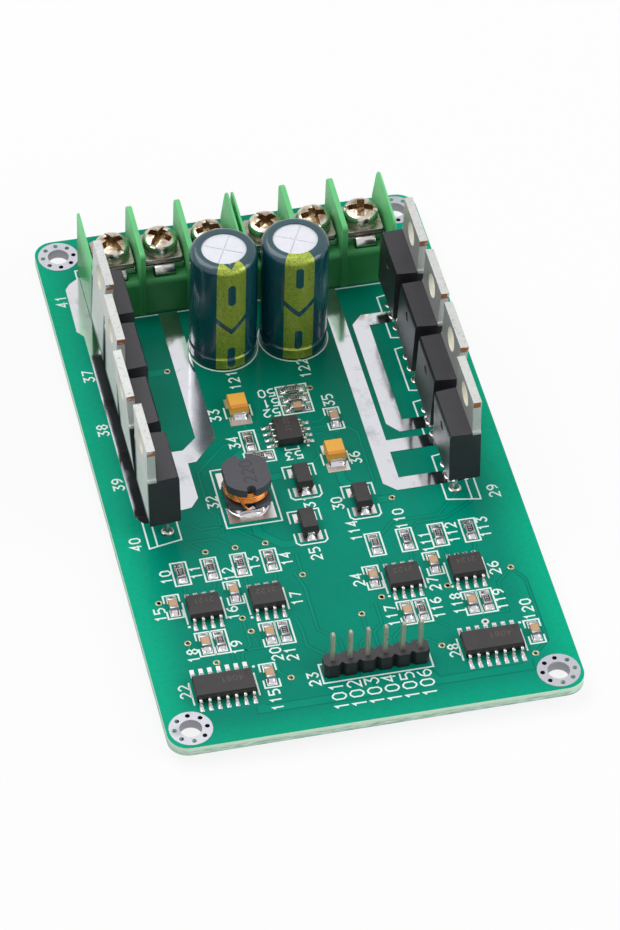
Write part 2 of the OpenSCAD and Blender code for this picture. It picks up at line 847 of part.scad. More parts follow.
// Power transistors. In at_transistor's frame x runs outwards to the tab's back,
// and inside lean() z = 0 is the bottom of the body.
tab_back_x = leg_depth;
tab_front_x = tab_back_x - tab_t;
face_x = tab_back_x - body_d;
tab_foot_z = 0.7;
leg_root_z = 2.2;
// Below this height the tab is narrower, and the plastic wraps round its edges
wrap_z = body_h - 0.3;
tab_low_w = body_w - 1.5;
step_z = 0.8;
step_t = 0.9;
ear_h = 1.05;
ear_cut = 0.3;

// A point of the leaning part, given in its own upright frame
function leaned(a, p) = [p[0] * cos(a) + p[1] * sin(a), leg_h - p[0] * sin(a) + p[1] * cos(a)];

// A leg above its narrow end: upright, then bent to lean with the body
function bent_leg(a, top) = concat(
    [[-leg_t / 2, leg_h + leg_t / 2 * tan(a / 2)], [-leg_t / 2, shoulder_foot],
        [leg_t / 2, shoulder_foot], [leg_t / 2, leg_h - leg_t / 2 * tan(a / 2)]],
    [for (p = top) leaned(a, p)]
);

module narrow_leg() {
    translate([0, 0, -top_z]) slab([leg_t, leg_w, top_z + shoulder_foot + 0.01]);
}

module side_leg(a) {
    narrow_leg();
    along_y(shoulder_w)
        polygon(bent_leg(a, [[leg_t / 2, leg_root_z], [-leg_t / 2, leg_root_z]]));
}

// The middle leg is bent out of the same metal as the tab
module middle_leg(a) {
    x = tab_front_x + 0.3;
    narrow_leg();
    along_y(shoulder_w) polygon(bent_leg(a, [
        [leg_t / 2, step_z], [x, step_z], [x, step_z + step_t], [-leg_t / 2, step_z + step_t]
    ]));
}

module tab_plate() {
    translate([tab_front_x, 0, 0]) rotate([90, 0, 90]) linear_extrude(height = tab_t)
        difference() {
            union() {
                translate([-body_w / 2, wrap_z]) square([body_w, tab_h - wrap_z]);
                translate([-tab_low_w / 2, tab_foot_z])
                    square([tab_low_w, tab_h - tab_foot_z - 1]);
            }
            // Notches below the ends where the strip was cut apart
            for (s = [-1, 1])
                translate([s * body_w / 2, (body_h + 0.3 + tab_h - ear_h) / 2])
                    square([2 * ear_cut, tab_h - ear_h - body_h - 0.3], center = true);
            translate([0, tab_h - tab_hole_drop]) circle(d = tab_hole_d);
        }
}

module mosfet_tab(i) {
    color(tab_grey) at_transistor(i) {
        lean(i) tab_plate();
        middle_leg(lean_of(i));
    }
}

module mosfet_side_legs() {
    color(tin) for (i = [1:2 * per_row]) at_transistor(i) for (s = [-1, 1])
        translate([0, s * leg_pitch, 0]) side_leg(lean_of(i));
}

// Plastic body: sloped sides and top, a foot under the end of the tab, walls round
// the tab's edges, and the mark of an ejector pin on its face
module mosfet_body(i) {
    slope = 0.25;
    color(black_plastic) at_transistor(i) difference() {
        lean(i) difference() {
            intersection() {
                along_y(body_w + over) polygon([
                    [face_x, 0], [tab_back_x, 0], [tab_back_x, wrap_z],
                    [tab_front_x, wrap_z], [tab_front_x, body_h],
                    [face_x + slope, body_h], [face_x, body_h - 0.6]
                ]);
                translate([0, 0, -over]) linear_extrude(height = body_h + 2 * over) polygon([
                    [face_x - 0.1, -body_w / 2 + slope], [tab_front_x, -body_w / 2],
                    [tab_back_x + over, -body_w / 2], [tab_back_x + over, body_w / 2],
                    [tab_front_x, body_w / 2], [face_x - 0.1, body_w / 2 - slope]
                ]);
            }
            translate([tab_front_x, -tab_low_w / 2, tab_foot_z])
                cube([tab_t + over, tab_low_w, body_h]);
            translate([face_x - over, 0, body_h - 2.3]) rotate([0, 90, 0])
                cylinder(h = over + 0.15, d = 1.5);
        }
        middle_leg(lean_of(i));
        for (s = [-1, 1]) translate([0, s * leg_pitch, 0]) side_leg(lean_of(i));
    }
}

module mosfet_body_1() { mosfet_body(1); }
module mosfet_body_2() { mosfet_body(2); }
module mosfet_body_3() { mosfet_body(3); }
module mosfet_body_4() { mosfet_body(4); }
module mosfet_body_5() { mosfet_body(5); }
module mosfet_body_6() { mosfet_body(6); }
module mosfet_body_7() { mosfet_body(7); }
module mosfet_body_8() { mosfet_body(8); }
module mosfet_tab_1() { mosfet_tab(1); }
module mosfet_tab_2() { mosfet_tab(2); }
module mosfet_tab_3() { mosfet_tab(3); }
module mosfet_tab_4() { mosfet_tab(4); }
module mosfet_tab_5() { mosfet_tab(5); }
module mosfet_tab_6() { mosfet_tab(6); }
module mosfet_tab_7() { mosfet_tab(7); }
module mosfet_tab_8() { mosfet_tab(8); }

// Inductor: a ferrite drum with flats, notched front and back for the wire ends
module flange(t) {
    linear_extrude(height = t) difference() {
        intersection() {
            circle(d = drum_d);
            square([drum_flat, drum_d + over], center = true);
        }
        for (s = [-1, 1]) {
            translate([0, s * (drum_d / 2 - notch_in)]) circle(notch_r);
            translate([0, s * (drum_d / 2 - notch_in + 1)])
                square([2 * notch_r, 2], center = true);
        }
    }
}

module inductor_core() {
    color(ferrite) on_board() translate([drum_at[0], drum_at[1], pad_t + drum_lift]) {
        difference() {
            flange(flange_t);
            terminal_cuts(0);
        }
        translate([0, 0, drum_h - top_flange_t - drum_lift]) flange(top_flange_t);
        cylinder(h = drum_h - drum_lift - 0.1, r = post_r);
    }
}

// Room under the lower flange for the two terminal clips
module terminal_cuts(gap) {
    for (s = [-1, 1]) translate([0, s * (drum_d / 2 - 0.75), -over])
        slab([3.4 + gap, 1.5 + gap, over + drum_lift]);
}

// Layers of wire turns on the post
module inductor_winding() {
    z0 = flange_t + fit_gap;
    z1 = drum_h - top_flange_t - drum_lift - fit_gap;
    turns = floor((z1 - z0) / wire_d);
    color(copper) on_board() translate([drum_at[0], drum_at[1], pad_t + drum_lift])
        rotate_extrude() {
            translate([post_r + fit_gap, z0])
                square([winding_r - wire_d / 2 - post_r - fit_gap, turns * wire_d]);
            for (k = [0:turns - 1])
                translate([winding_r - wire_d / 2, z0 + (k + 0.5) * wire_d])
                    circle(wire_d / 2, $fn = 16);
        }
}

// A tinned clip under each end of the drum, turned up at its outer edge
module inductor_terminals() {
    color(tin) on_board() translate([drum_at[0], drum_at[1], pad_t]) for (s = [-1, 1])
        difference() {
            union() {
                translate([0, s * (drum_d / 2 - 0.75), 0]) slab([3.4, 1.5, 0.3]);
                translate([0, s * (drum_d / 2 + 0.1), 0]) slab([3.4, 0.2, 0.9]);
            }
            translate([0, s * (drum_d / 2 - 0.6), -over])
                cylinder(h = 2, r = 0.35);
        }
}

// Tantalum capacitors
module tantalum_body(k) {
    p = tantalum_at[k];
    color(tantalum_yellow) on_board() translate([p[0], p[1], 0]) difference() {
        drafted(tantalum_w, tantalum_l, 0.15, tantalum_h, 1, 0.1);
        tantalum_clips();
    }
}

module tantalum_body_1() { tantalum_body(0); }
module tantalum_body_2() { tantalum_body(1); }

// A clip out of each end at mid height, folded down and under
module tantalum_clips() {
    for (s = [-1, 1]) {
        translate([0, s * (tantalum_l / 2 - 0.15), 0.9]) slab([2.2, 0.5, 0.15]);
        translate([0, s * (tantalum_l / 2 + 0.05), pad_t]) slab([2.2, 0.15, 1]);
        translate([0, s * (tantalum_l / 2 - 0.35), pad_t]) slab([2.2, 0.95, 0.12]);
    }
}

module tantalum_terminals() {
    color(tin) on_board() for (p = tantalum_at) translate([p[0], p[1], 0])
        tantalum_clips();
}

// Surface-mount chips
module chip_body(l) {
    z0 = chip_lift;
    z1 = chip_lift + chip_h;
    mid = z0 + chip_h / 2;
    difference() {
        drafted(l, chip_w, z0, z1, mid, 0.12);
        // Mark beside the first lead
        translate([l / 2 - 0.75, chip_w / 2 - 0.8, z1 - 0.06]) cylinder(h = 1, d = 0.7);
        chip_leads_of(round((l - 0.5) / chip_pitch + 0.4));
    }
}

// Gull-wing lead: out of the body, down, and flat on its pad
module lead_profile() {
    t = chip_lead_t;
    z = chip_lift + chip_h / 2 - t / 2;
    tip = chip_span / 2;
    knee = chip_w / 2 + 0.35;
    foot = tip - 0.6;
    polygon([
        [chip_w / 2 - 0.35, z], [knee - 0.1, z], [knee, z - 0.1], [foot - 0.1, pad_t + 0.12],
        [foot + 0.02, pad_t], [tip, pad_t], [tip, pad_t + t], [foot + 0.1, pad_t + t],
        [knee + t, z - 0.02], [knee + t - 0.12, z + t - 0.06], [knee, z + t],
        [chip_w / 2 - 0.35, z + t]
    ]);
}

module chip_leads_of(n) {
    for (i = [0:n - 1], s = [0, 1]) rotate([0, 0, s * 180])
        translate([(i - (n - 1) / 2) * chip_pitch, 0, 0]) along_x(chip_lead_w)
            lead_profile();
}

module converter_chip_body() {
    color(black_plastic) on_board() translate(concat(converter_at, [0]))
        rotate([0, 0, 90]) chip_body(chip_8_l);
}

module driver_chip_body(k) {
    color(black_plastic) on_board() translate([driver_x[k], driver_y, 0])
        chip_body(chip_8_l);
}

module driver_chip_body_1() { driver_chip_body(0); }
module driver_chip_body_2() { driver_chip_body(1); }
module driver_chip_body_3() { driver_chip_body(2); }
module driver_chip_body_4() { driver_chip_body(3); }

module logic_chip_body(k) {
    color(black_plastic) on_board() translate(concat(logic_at[k], [0]))
        chip_body(chip_14_l);
}

module logic_chip_body_1() { logic_chip_body(0); }
module logic_chip_body_2() { logic_chip_body(1); }

module chip_leads() {
    color(tin) on_board() {
        for (x = driver_x) translate([x, driver_y, 0]) chip_leads_of(4);
        translate(concat(converter_at, [0])) rotate([0, 0, 90]) chip_leads_of(4);
        for (p = logic_at) translate(concat(p, [0])) chip_leads_of(7);
    }
}

// Diodes
module diode_clips() {
    w = 1;
    for (s = [-1, 1]) {
        translate([0, s * (diode_l / 2 - 0.15), 0.95]) slab([w, 0.55, 0.2]);
        translate([0, s * (diode_l / 2 + 0.15), pad_t]) slab([w, 0.2, 1.1]);
        translate([0, s * (diode_l / 2 - 0.45), pad_t]) slab([w, 1.3, 0.15]);
    }
}

module diode_bodies() {
    color(black_plastic) on_board() for (p = diode_at) translate([p[0], p[1], 0])
        difference() {
            drafted(diode_w, diode_l, 0.2, diode_h, 1.05, 0.2);
            diode_clips();
        }
}

module diode_terminals() {
    color(tin) on_board() for (p = diode_at) translate([p[0], p[1], 0]) diode_clips();
}

// Chip resistors and ceramic capacitors: a body with a metal cap on each end
module rc_core(h) {
    translate([0, 0, pad_t + rc_skin])
        slab([rc_w - 2 * rc_skin, rc_l - 2 * rc_skin, h - 2 * rc_skin]);
}

module rc_caps(h) {
    for (s = [-1, 1]) difference() {
        translate([0, s * (rc_l - rc_cap) / 2, pad_t]) slab([rc_w, rc_cap, h]);
        rc_core(h);
    }
}

module at_rc(places) {
    on_board() for (p = places) translate([p[0], p[1], 0]) rotate([0, 0, p[2]]) children();
}

module resistor_bodies() {
    color(resistor_black) at_rc(resistor_at) rc_core(rc_h);
}

module resistor_terminations() {
    color(tin) at_rc(resistor_at) rc_caps(rc_h);
}

module ceramic_bodies() {
    color(ceramic_tan) at_rc(ceramic_at) rc_core(cap_h);
}

module ceramic_terminations() {
    color(tin) at_rc(ceramic_at) rc_caps(cap_h);
}

// Pin header
module header_strip() {
    cut = 0.55;
    h = strip_h;
    color(black_plastic) on_board() difference() {
        union() at_header_pins() {
            linear_extrude(height = h) polygon([
                [-header_pitch / 2, -strip_w / 2 + cut], [-header_pitch / 2 + cut, -strip_w / 2],
                [header_pitch / 2 - cut, -strip_w / 2], [header_pitch / 2, -strip_w / 2 + cut],
                [header_pitch / 2, strip_w / 2 - cut], [header_pitch / 2 - cut, strip_w / 2],
                [-header_pitch / 2 + cut, strip_w / 2], [-header_pitch / 2, strip_w / 2 - cut]
            ]);
        }
        at_header_pins() translate([0, 0, -over])
            slab([header_pin_w, header_pin_w, h + 2 * over]);
        // Groove under the strip that lets flux drain
        translate([header_x, header_y, -over])
            slab([header_pins_n * header_pitch + over, 1.1, over + 0.25]);
    }
}

// Each pin is square with a chamfered tip at both ends
module header_pins() {
    h = top_z + strip_h + header_pin_out;
    w = header_pin_w / 2;
    c = 0.2;
    tip = [[-w, c], [-w + c, 0], [w - c, 0], [w, c], [w, h - 2 * c], [w - c, h],
        [-w + c, h], [-w, h - 2 * c]];
    color("#b9a77a") at_header_pins() intersection() {
        along_x(header_pin_w) polygon(tip);
        along_y(header_pin_w) polygon(tip);
    }
}

board();
mounting_pads();
power_tracks();
component_pads();
solder_joints();
terminal_block_left();
terminal_block_right();
terminal_screws_left();
terminal_screws_right();
clamp_washers_left();
clamp_washers_right();
terminal_contacts_left();
terminal_contacts_right();
capacitor_can_left();
capacitor_can_right();
capacitor_sleeve_left();
capacitor_sleeve_right();
capacitor_seal_left();
capacitor_seal_right();
capacitor_leads();
mosfet_body_1();
mosfet_body_2();
mosfet_body_3();
mosfet_body_4();
mosfet_body_5();
mosfet_body_6();
mosfet_body_7();
mosfet_body_8();
mosfet_tab_1();
mosfet_tab_2();
mosfet_tab_3();
mosfet_tab_4();
mosfet_tab_5();
mosfet_tab_6();
mosfet_tab_7();
mosfet_tab_8();
mosfet_side_legs();
inductor_core();
inductor_winding();
inductor_terminals();
tantalum_body_1();
tantalum_body_2();
tantalum_terminals();
converter_chip_body();
driver_chip_body_1();
driver_chip_body_2();
driver_chip_body_3();
driver_chip_body_4();
logic_chip_body_1();
logic_chip_body_2();
chip_leads();
diode_bodies();
diode_terminals();
resistor_bodies();
resistor_terminations();
ceramic_bodies();
ceramic_terminations();
header_strip();
header_pins();
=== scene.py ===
"""Looks of a two-channel DC motor driver board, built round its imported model.

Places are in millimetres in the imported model's frame: x across the board, y towards the
screw terminals, z up.
"""

import json
import math
import random

import bpy
from mathutils import Matrix, Vector


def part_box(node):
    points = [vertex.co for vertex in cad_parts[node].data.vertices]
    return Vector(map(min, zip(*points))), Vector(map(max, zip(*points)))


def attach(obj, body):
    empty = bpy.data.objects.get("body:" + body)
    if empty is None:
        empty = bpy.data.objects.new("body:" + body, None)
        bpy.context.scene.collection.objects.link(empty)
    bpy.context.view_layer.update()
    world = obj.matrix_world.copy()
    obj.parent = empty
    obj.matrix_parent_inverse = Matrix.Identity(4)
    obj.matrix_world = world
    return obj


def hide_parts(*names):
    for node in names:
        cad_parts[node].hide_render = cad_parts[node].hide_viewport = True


MM = 0.001

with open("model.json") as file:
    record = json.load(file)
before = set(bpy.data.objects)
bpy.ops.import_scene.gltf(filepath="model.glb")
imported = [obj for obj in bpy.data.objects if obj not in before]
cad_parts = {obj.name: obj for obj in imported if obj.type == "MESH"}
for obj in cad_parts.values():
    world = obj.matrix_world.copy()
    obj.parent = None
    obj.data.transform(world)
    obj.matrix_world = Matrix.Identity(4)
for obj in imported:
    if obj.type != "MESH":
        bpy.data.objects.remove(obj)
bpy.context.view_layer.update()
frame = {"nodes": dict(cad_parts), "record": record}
nodes = frame["nodes"]


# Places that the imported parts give

def corners(node):
    """Lowest and highest corner of a node, in millimetres."""
    low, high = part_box(node)
    return low / MM, high / MM


def solids(node):
    """Centre and size, in millimetres, of each separate solid in a node."""
    mesh = nodes[node].data
    places = [tuple(round(c / MM, 3) for c in v.co) for v in mesh.vertices]
    parent = {p: p for p in places}

    def root(p):
        while parent[p] != p:
            p = parent[p]
        return p

    for face in mesh.polygons:
        first, *rest = [places[i] for i in face.vertices]
        for p in rest:
            parent[root(p)] = root(first)
    groups = {}
    for p in parent:
        groups.setdefault(root(p), []).append(p)
    found = []
    for points in groups.values():
        low = Vector([min(p[i] for p in points) for i in range(3)])
        high = Vector([max(p[i] for p in points) for i in range(3)])
        found.append(((low + high) / 2, high - low))
    return sorted(found, key=lambda s: (round(s[0].y, 1), s[0].x))


board_low, board_high = corners("board")
TOP = board_high.z
BOTTOM = board_low.z
HALF_W = board_high.x
HALF_L = board_high.y
# From the board's edges to the mounting holes' centres, and just past the holes' walls
MOUNT_INSET = 3.5
MOUNT_WALL_R = 1.75
MOUNT_X = HALF_W - MOUNT_INSET
MOUNT_Y = HALF_L - MOUNT_INSET
# Spacing of the chips' leads
LEAD_PITCH = 1.27
CHIPS = ["converter_chip_body", "driver_chip_body_1", "driver_chip_body_2",
         "driver_chip_body_3", "driver_chip_body_4", "logic_chip_body_1", "logic_chip_body_2"]
LEFT_ROW = ["mosfet_body_%d" % k for k in (1, 2, 3, 4)]
RIGHT_ROW = ["mosfet_body_%d" % k for k in (5, 6, 7, 8)]
TANTALUMS = ["tantalum_body_1", "tantalum_body_2"]
SIDES = ["left", "right"]


def centre(node):
    low, high = corners(node)
    return (low + high) / 2


# Shader maths

class Value:
    """A socket of a node, with Python's operators as maths nodes."""

    def __init__(self, owner, socket):
        self.owner = owner
        self.socket = socket

    def __add__(self, other):
        return self.owner.maths("ADD", self, other)

    def __sub__(self, other):
        return self.owner.maths("SUBTRACT", self, other)

    def __mul__(self, other):
        return self.owner.maths("MULTIPLY", self, other)

    def __rsub__(self, other):
        return self.owner.maths("SUBTRACT", other, self)

    def __abs__(self):
        return self.owner.maths("ABSOLUTE", self)

    def __neg__(self):
        return self * -1

    __radd__ = __add__
    __rmul__ = __mul__

    def above(self, edge, blur=0.02):
        """0 below an edge and 1 above it, with a short ramp between."""
        return self.owner.ramp(self, edge - blur, edge + blur)

    def below(self, edge, blur=0.02):
        return 1 - self.above(edge, blur)

    def between(self, low, high, blur=0.02):
        return self.above(low, blur) * self.below(high, blur)


class Nodes:
    """The nodes of a material or of the world."""

    def __init__(self, tree):
        self.tree = tree

    def add(self, kind, settings=None, out=0, **inputs):
        """Adds a node, sets its settings, fills its sockets and returns an output."""
        node = self.tree.nodes.new(kind)
        for key, value in (settings or {}).items():
            setattr(node, key, value)
        for key, value in inputs.items():
            index = int(key[1:]) if key[0] == "_" else key.replace("_", " ")
            self.feed(node.inputs[index], value)
        return Value(self, node.outputs[out])

    def feed(self, socket, value):
        """Links a value to a socket, or sets a number, a vector or a colour's code."""
        if isinstance(value, Value):
            self.tree.links.new(value.socket, socket)
        else:
            socket.default_value = rgba(value) if isinstance(value, str) else value

    def maths(self, operation, a, b=0.0):
        return self.add("ShaderNodeMath", {"operation": operation}, _0=a, _1=b)

    def most(self, a, b):
        return self.maths("MAXIMUM", a, b)

    def ramp(self, value, low, high):
        """A smooth step from 0 at low to 1 at high."""
        return self.add("ShaderNodeMapRange", {"interpolation_type": "SMOOTHSTEP"},
                        Value=value, From_Min=low, From_Max=high)

    def mix(self, factor, one, other):
        """The first colour where the factor is 0, the second where it is 1."""
        return self.add("ShaderNodeMix", {"data_type": "RGBA"}, out=2,
                        _0=factor, _6=one, _7=other)

    def seen(self):
        """1 to the camera and in reflections, 0 to the light that falls on things."""
        return self.most(self.add("ShaderNodeLightPath", out="Is Camera Ray"),
                         self.add("ShaderNodeLightPath", out="Is Glossy Ray"))


class Finish(Nodes):
    """One procedural material. Its point is the place on the object, in millimetres."""

    def __init__(self, name, **look):
        self.material = bpy.data.materials.new(name)
        self.material.use_nodes = True
        super().__init__(self.material.node_tree)
        self.shader = next(n for n in self.tree.nodes if n.type == "BSDF_PRINCIPLED")
        place = self.add("ShaderNodeTexCoord", out="Object")
        self.point = self.add("ShaderNodeVectorMath", {"operation": "SCALE"},
                              Vector=place, Scale=1 / MM)
        self.x, self.y, self.z = self.split(self.point)
        for socket, value in look.items():
            self.set(socket, value)

    def set(self, socket, value):
        self.feed(self.shader.inputs[socket.replace("_", " ")], value)

    def split(self, vector):
        node = self.tree.nodes.new("ShaderNodeSeparateXYZ")
        self.feed(node.inputs[0], vector)
        return [Value(self, out) for out in node.outputs]

    def noise(self, per_mm, detail=2.0, rough=0.5, stretch=None):
        """Noise from 0 to 1, so many blots to the millimetre."""
        where = self.point
        if stretch:
            where = self.add("ShaderNodeVectorMath", {"operation": "MULTIPLY"},
                             _0=where, _1=stretch)
        return self.add("ShaderNodeTexNoise", Vector=where, Scale=per_mm, Detail=detail,
                        Roughness=rough)

    def cells(self, per_mm):
        """Distance from the nearest of so many scattered spots to the millimetre."""
        return self.add("ShaderNodeTexVoronoi", out="Distance", Vector=self.point,
                        Scale=per_mm)

    def repeat(self, value, middle, pitch):
        """Distance from the nearest of many lines, one of them at a given middle."""
        cycle = self.maths("FLOORED_MODULO", value - middle + pitch / 2, pitch)
        return cycle - pitch / 2

    def facing(self):
        """The surface's own normal, as three values."""
        return self.split(self.add("ShaderNodeNewGeometry", out="Normal"))

    def skin(self, colour, rough, height, depth_mm):
        """Sets the colour, the roughness and the bump, and gives the material."""
        self.set("Base Color", colour)
        self.set("Roughness", rough)
        self.set("Normal", self.add("ShaderNodeBump", Height=height, Distance=depth_mm * MM))
        return self.material


def rgba(code):
    """A linear colour from a screen colour such as "4FA869"."""
    parts = [int(code[i:i + 2], 16) / 255 for i in (0, 2, 4)]
    return (*(p / 12.92 if p <= 0.04045 else ((p + 0.055) / 1.055) ** 2.4 for p in parts), 1)


# Finishes

MASK_GLOSS = {"Specular_IOR_Level": 0.06, "Coat_Weight": 0.04, "Coat_Roughness": 0.05}
# Spacing of the threads in the board's glass cloth
CLOTH_PITCH = 0.55


def solder_mask_finish():
    """Glossy green mask over glass cloth, with a cream edge and plated hole walls; its green has
    painted light near the edges and painted shade between the rows.
    """
    f = Finish("solder_mask", **MASK_GLOSS)
    patches = f.noise(0.05, 3.0)
    mask = f.mix(patches, "00806A", "00937B")
    # Painted light: paler within a few millimetres of the sides and the ends, away from the
    # parts' shade
    ends = f.ramp(abs(f.y), HALF_L - 5, HALF_L) * 0.6
    edge_light = f.most(f.ramp(abs(f.x), HALF_W - 7, HALF_W), ends)
    mask = f.mix(edge_light * 0.8, mask, "00B68D")
    # Painted shade: darker between the two rows of transistors, where they shade the board
    shade = f.ramp(f.y, -20, 30) * f.ramp(abs(f.x), 26, 14)
    mask = f.mix(shade * 0.55, mask, "006B50")
    fine = f.noise(1.3, 3.0)
    mask = f.mix(f.ramp(fine, 0.35, 0.75) * 0.15, mask, "00715C")
    # The cut edge: glass below, clear resin above
    skin = 0.06
    on_face = f.most(f.z.above(TOP - skin), f.z.below(BOTTOM + skin))
    streaks = f.noise(1.1, 3.0, stretch=(0.5, 0.5, 5.0))
    glass = f.mix(f.ramp(streaks, 0.3, 0.7), "93B0A2", "D2E8D8")
    resin = f.mix(streaks, "BCE2C6", "DCF3DE")
    edge = f.mix(f.z.above((TOP + BOTTOM) / 2 + 0.1, 0.25), glass, resin)
    colour = f.mix(on_face, edge, mask)
    # Upright walls inside the outline are plated holes
    hole_x = abs(f.x) - MOUNT_X
    hole_y = abs(f.y) - MOUNT_Y
    mount = (hole_x * hole_x + hole_y * hole_y).below(MOUNT_WALL_R ** 2, 0.1)
    margin = 2
    inside = f.most(abs(f.x).below(HALF_W - margin) * abs(f.y).below(HALF_L - margin), mount)
    wall = inside * abs(f.facing()[2]).below(0.5, 0.2)
    plating = f.mix(mount, "4E4535", "A4A6AA")
    f.set("Metallic", wall)
    threads = 2 * math.pi / CLOTH_PITCH
    weave = f.maths("SINE", f.x * threads) * f.maths("SINE", f.y * threads)
    return f.skin(f.mix(wall, colour, plating), 0.25 + fine * 0.08 + (1 - on_face) * 0.35,
                  weave * 0.15 + f.noise(0.8, 2.0) + patches * 3.0, 0.004)


def masked_finish(name, dark, light):
    """Solder mask over a track, or over the bare gap beside it."""
    f = Finish(name, **MASK_GLOSS)
    return f.skin(f.mix(f.noise(0.3, 2.0), dark, light), 0.25 + f.noise(1.2, 2.0) * 0.08,
                  f.noise(1.0, 2.0), 0.003)


def tinned_finish(name, dark, light, rough):
    """Hot-levelled tin: nearly a mirror, with slow waves and a few dull stains."""
    f = Finish(name, Metallic=1.0)
    stains = f.ramp(f.noise(0.3, 4.0, 0.6), 0.5, 0.8)
    grains = f.noise(5.0, 3.0)
    colour = f.mix(stains, light, dark)
    flux = f.ramp(f.noise(0.9, 3.0, 0.6), 0.66, 0.78)
    return f.skin(f.mix(flux * 0.3, colour, "9C8F7A"), stains * 0.12 + grains * 0.06 + rough,
                  f.noise(0.3, 2.0) * 3.0 + grains * 0.12, 0.004)


def solder_finish():
    """Bright solder with a slightly frosted skin and brown flux in its hollows."""
    f = Finish("solder", Metallic=1.0)
    frost = f.noise(3.0, 3.0)
    flux = f.ramp(f.noise(1.3, 3.0, 0.6), 0.58, 0.74)
    return f.skin(f.mix(flux * 0.6, "D2D2D6", "85735C"), 0.10 + frost * 0.16, f.noise(1.5, 2.0),
                  0.02)


def block_finish():
    """Green moulded nylon, slightly clear, with painted light: paler in the fins, where light
    falls, and deeper in the body, where shade falls.
    """
    f = Finish("block_nylon", Subsurface_Weight=0.35, Subsurface_Scale=0.0022,
               Subsurface_Radius=(0.35, 1.0, 0.45), Specular_IOR_Level=0.35)
    flow = f.noise(0.35, 3.0, stretch=(1.0, 1.0, 0.3))
    body = f.mix(flow, "2C7F46", "389050")
    fins = f.mix(flow, "58BE74", "76D08C")
    # Painted light and shade: the same nylon coloured paler up in the fins and deeper down in the
    # body
    height = f.ramp(f.z, TOP + 5.4, TOP + 11.0)
    grain = f.noise(3.5, 3.0)
    return f.skin(f.mix(height, body, fins), 0.38 + grain * 0.12, grain * 0.5 + flow * 2.0,
                  0.008)


def nickel_finish(name, light, dark, rough, heads=None):
    """Nickel plate with soft stains, brown and dark down in the recesses of a row of screws,
    partly tarnish and partly painted shade and reflection.

    The heads are given by the first one's centre, their top and their spacing.
    """
    f = Finish(name, Metallic=1.0)
    stain = f.ramp(f.noise(0.9, 4.0, 0.6), 0.38, 0.72)
    colour = f.mix(stain * 0.65, light, dark)
    rough = stain * 0.18 + rough
    if heads:
        first, top, pitch = heads
        dx = f.repeat(f.x, first.x, pitch)
        dy = f.y - first.y
        away = dx * dx + dy * dy
        recess_r = 2.0
        recess_start = 0.6
        recess = f.z.below(top - recess_start, 0.3) * away.below(recess_r ** 2, 1.2)
        # Tarnish creeps out over the dome round the recess
        dome_r = 1.9
        dome_h = 1.3
        tarnish = f.ramp(f.noise(1.3, 4.0, 0.7), 0.36, 0.56) * away.below(dome_r ** 2, 1.6)
        tarnish = tarnish * f.z.above(top - dome_h, 0.2)
        colour = f.mix(tarnish * 0.85, colour, "86653A")
        # Dark brown in the recesses: partly grime, partly painted shade and reflection of the
        # recess walls
        grime_and_shade = f.mix(f.ramp(f.noise(2.6, 3.0), 0.35, 0.6), "5A3A1C", "B0946A")
        colour = f.mix(recess * 0.9, colour, grime_and_shade)
        rough = rough + recess * 0.15 + tarnish * 0.1
    return f.skin(colour, rough, f.noise(3.0, 3.0) * 0.5 + f.noise(0.8, 2.0) * 2.0, 0.008)


def screw_finish(side):
    """Nickel plate of one block's screws, tarnished about their recesses, with painted shade down
    in them.
    """
    node = "terminal_screws_" + side
    first, second = [spot for spot, _ in solids(node)][:2]
    heads = (first, corners(node)[1].z, second.x - first.x)
    return nickel_finish("screw_nickel_" + side, "D8D2C6", "9A8F7C", 0.2, heads)


def tab_finish():
    """Satin tin plate, drawn upwards, with bare copper at the cut ends of the tabs."""
    f = Finish("tab_plate", Metallic=1.0)
    drawn = f.noise(2.2, 4.0, 0.6, stretch=(1.0, 1.0, 0.08))
    clouds = f.noise(0.35, 3.0)
    colour = f.mix(drawn * 0.5 + clouds * 0.5, "B1B4B2", "D8D9D7")
    facing = f.facing()
    upper = f.ramp(facing[2], 0.6, 0.9)
    specks = f.ramp(f.noise(2.6, 3.0, 0.7), 0.56, 0.66)
    colour = f.mix(specks * (0.15 + upper * 0.4), colour, "8F8878")
    # Where the tabs were cut apart, near their tops
    tab_top = corners("mosfet_tab_3")[1].z
    cut_h = 1.08
    cut_end = abs(facing[1]).above(0.8, 0.1) * f.z.above(tab_top - cut_h, 0.05)
    bare = cut_end * f.ramp(f.noise(1.1, 3.0), 0.34, 0.46)
    copper = f.mix(f.noise(1.9, 3.0), "7C4A32", "B97A54")
    colour = f.mix(bare, colour, copper)
    # The wall of the screw hole is dull and pale
    hole_drop = 2.8
    hole_r = 2.1
    row = sorted(centre(node).y for node in LEFT_ROW)
    dy = f.repeat(f.y, row[0], (row[-1] - row[0]) / (len(row) - 1))
    dz = f.z - (tab_top - hole_drop)
    wall = (dy * dy + dz * dz).below(hole_r ** 2, 0.3) * abs(facing[0]).below(0.5, 0.1)
    f.set("Metallic", 0.62 - wall * 0.42)
    return f.skin(f.mix(wall, colour, "D9D6C6"), 0.36 + drawn * 0.14 + bare * 0.1 + upper * 0.1,
                  drawn * 1.2 + f.noise(5.0, 2.0) + specks, 0.006)


def epoxy_finish(name, dark, light, grain, sheen):
    """Black moulding compound with a fine grain and paler worn specks."""
    f = Finish(name)
    cloud = f.noise(0.7, 3.0)
    grains = f.noise(grain, 3.0, 0.6)
    colour = f.mix(cloud * 0.6 + grains * 0.4, dark, light)
    dust = f.ramp(f.noise(2.8, 4.0, 0.7), 0.68, 0.80)
    return f.skin(f.mix(dust * 0.25, colour, "6E6C70"), sheen + grains * 0.14 - cloud * 0.06,
                  grains + f.noise(grain * 2.5, 2.0), 0.012)


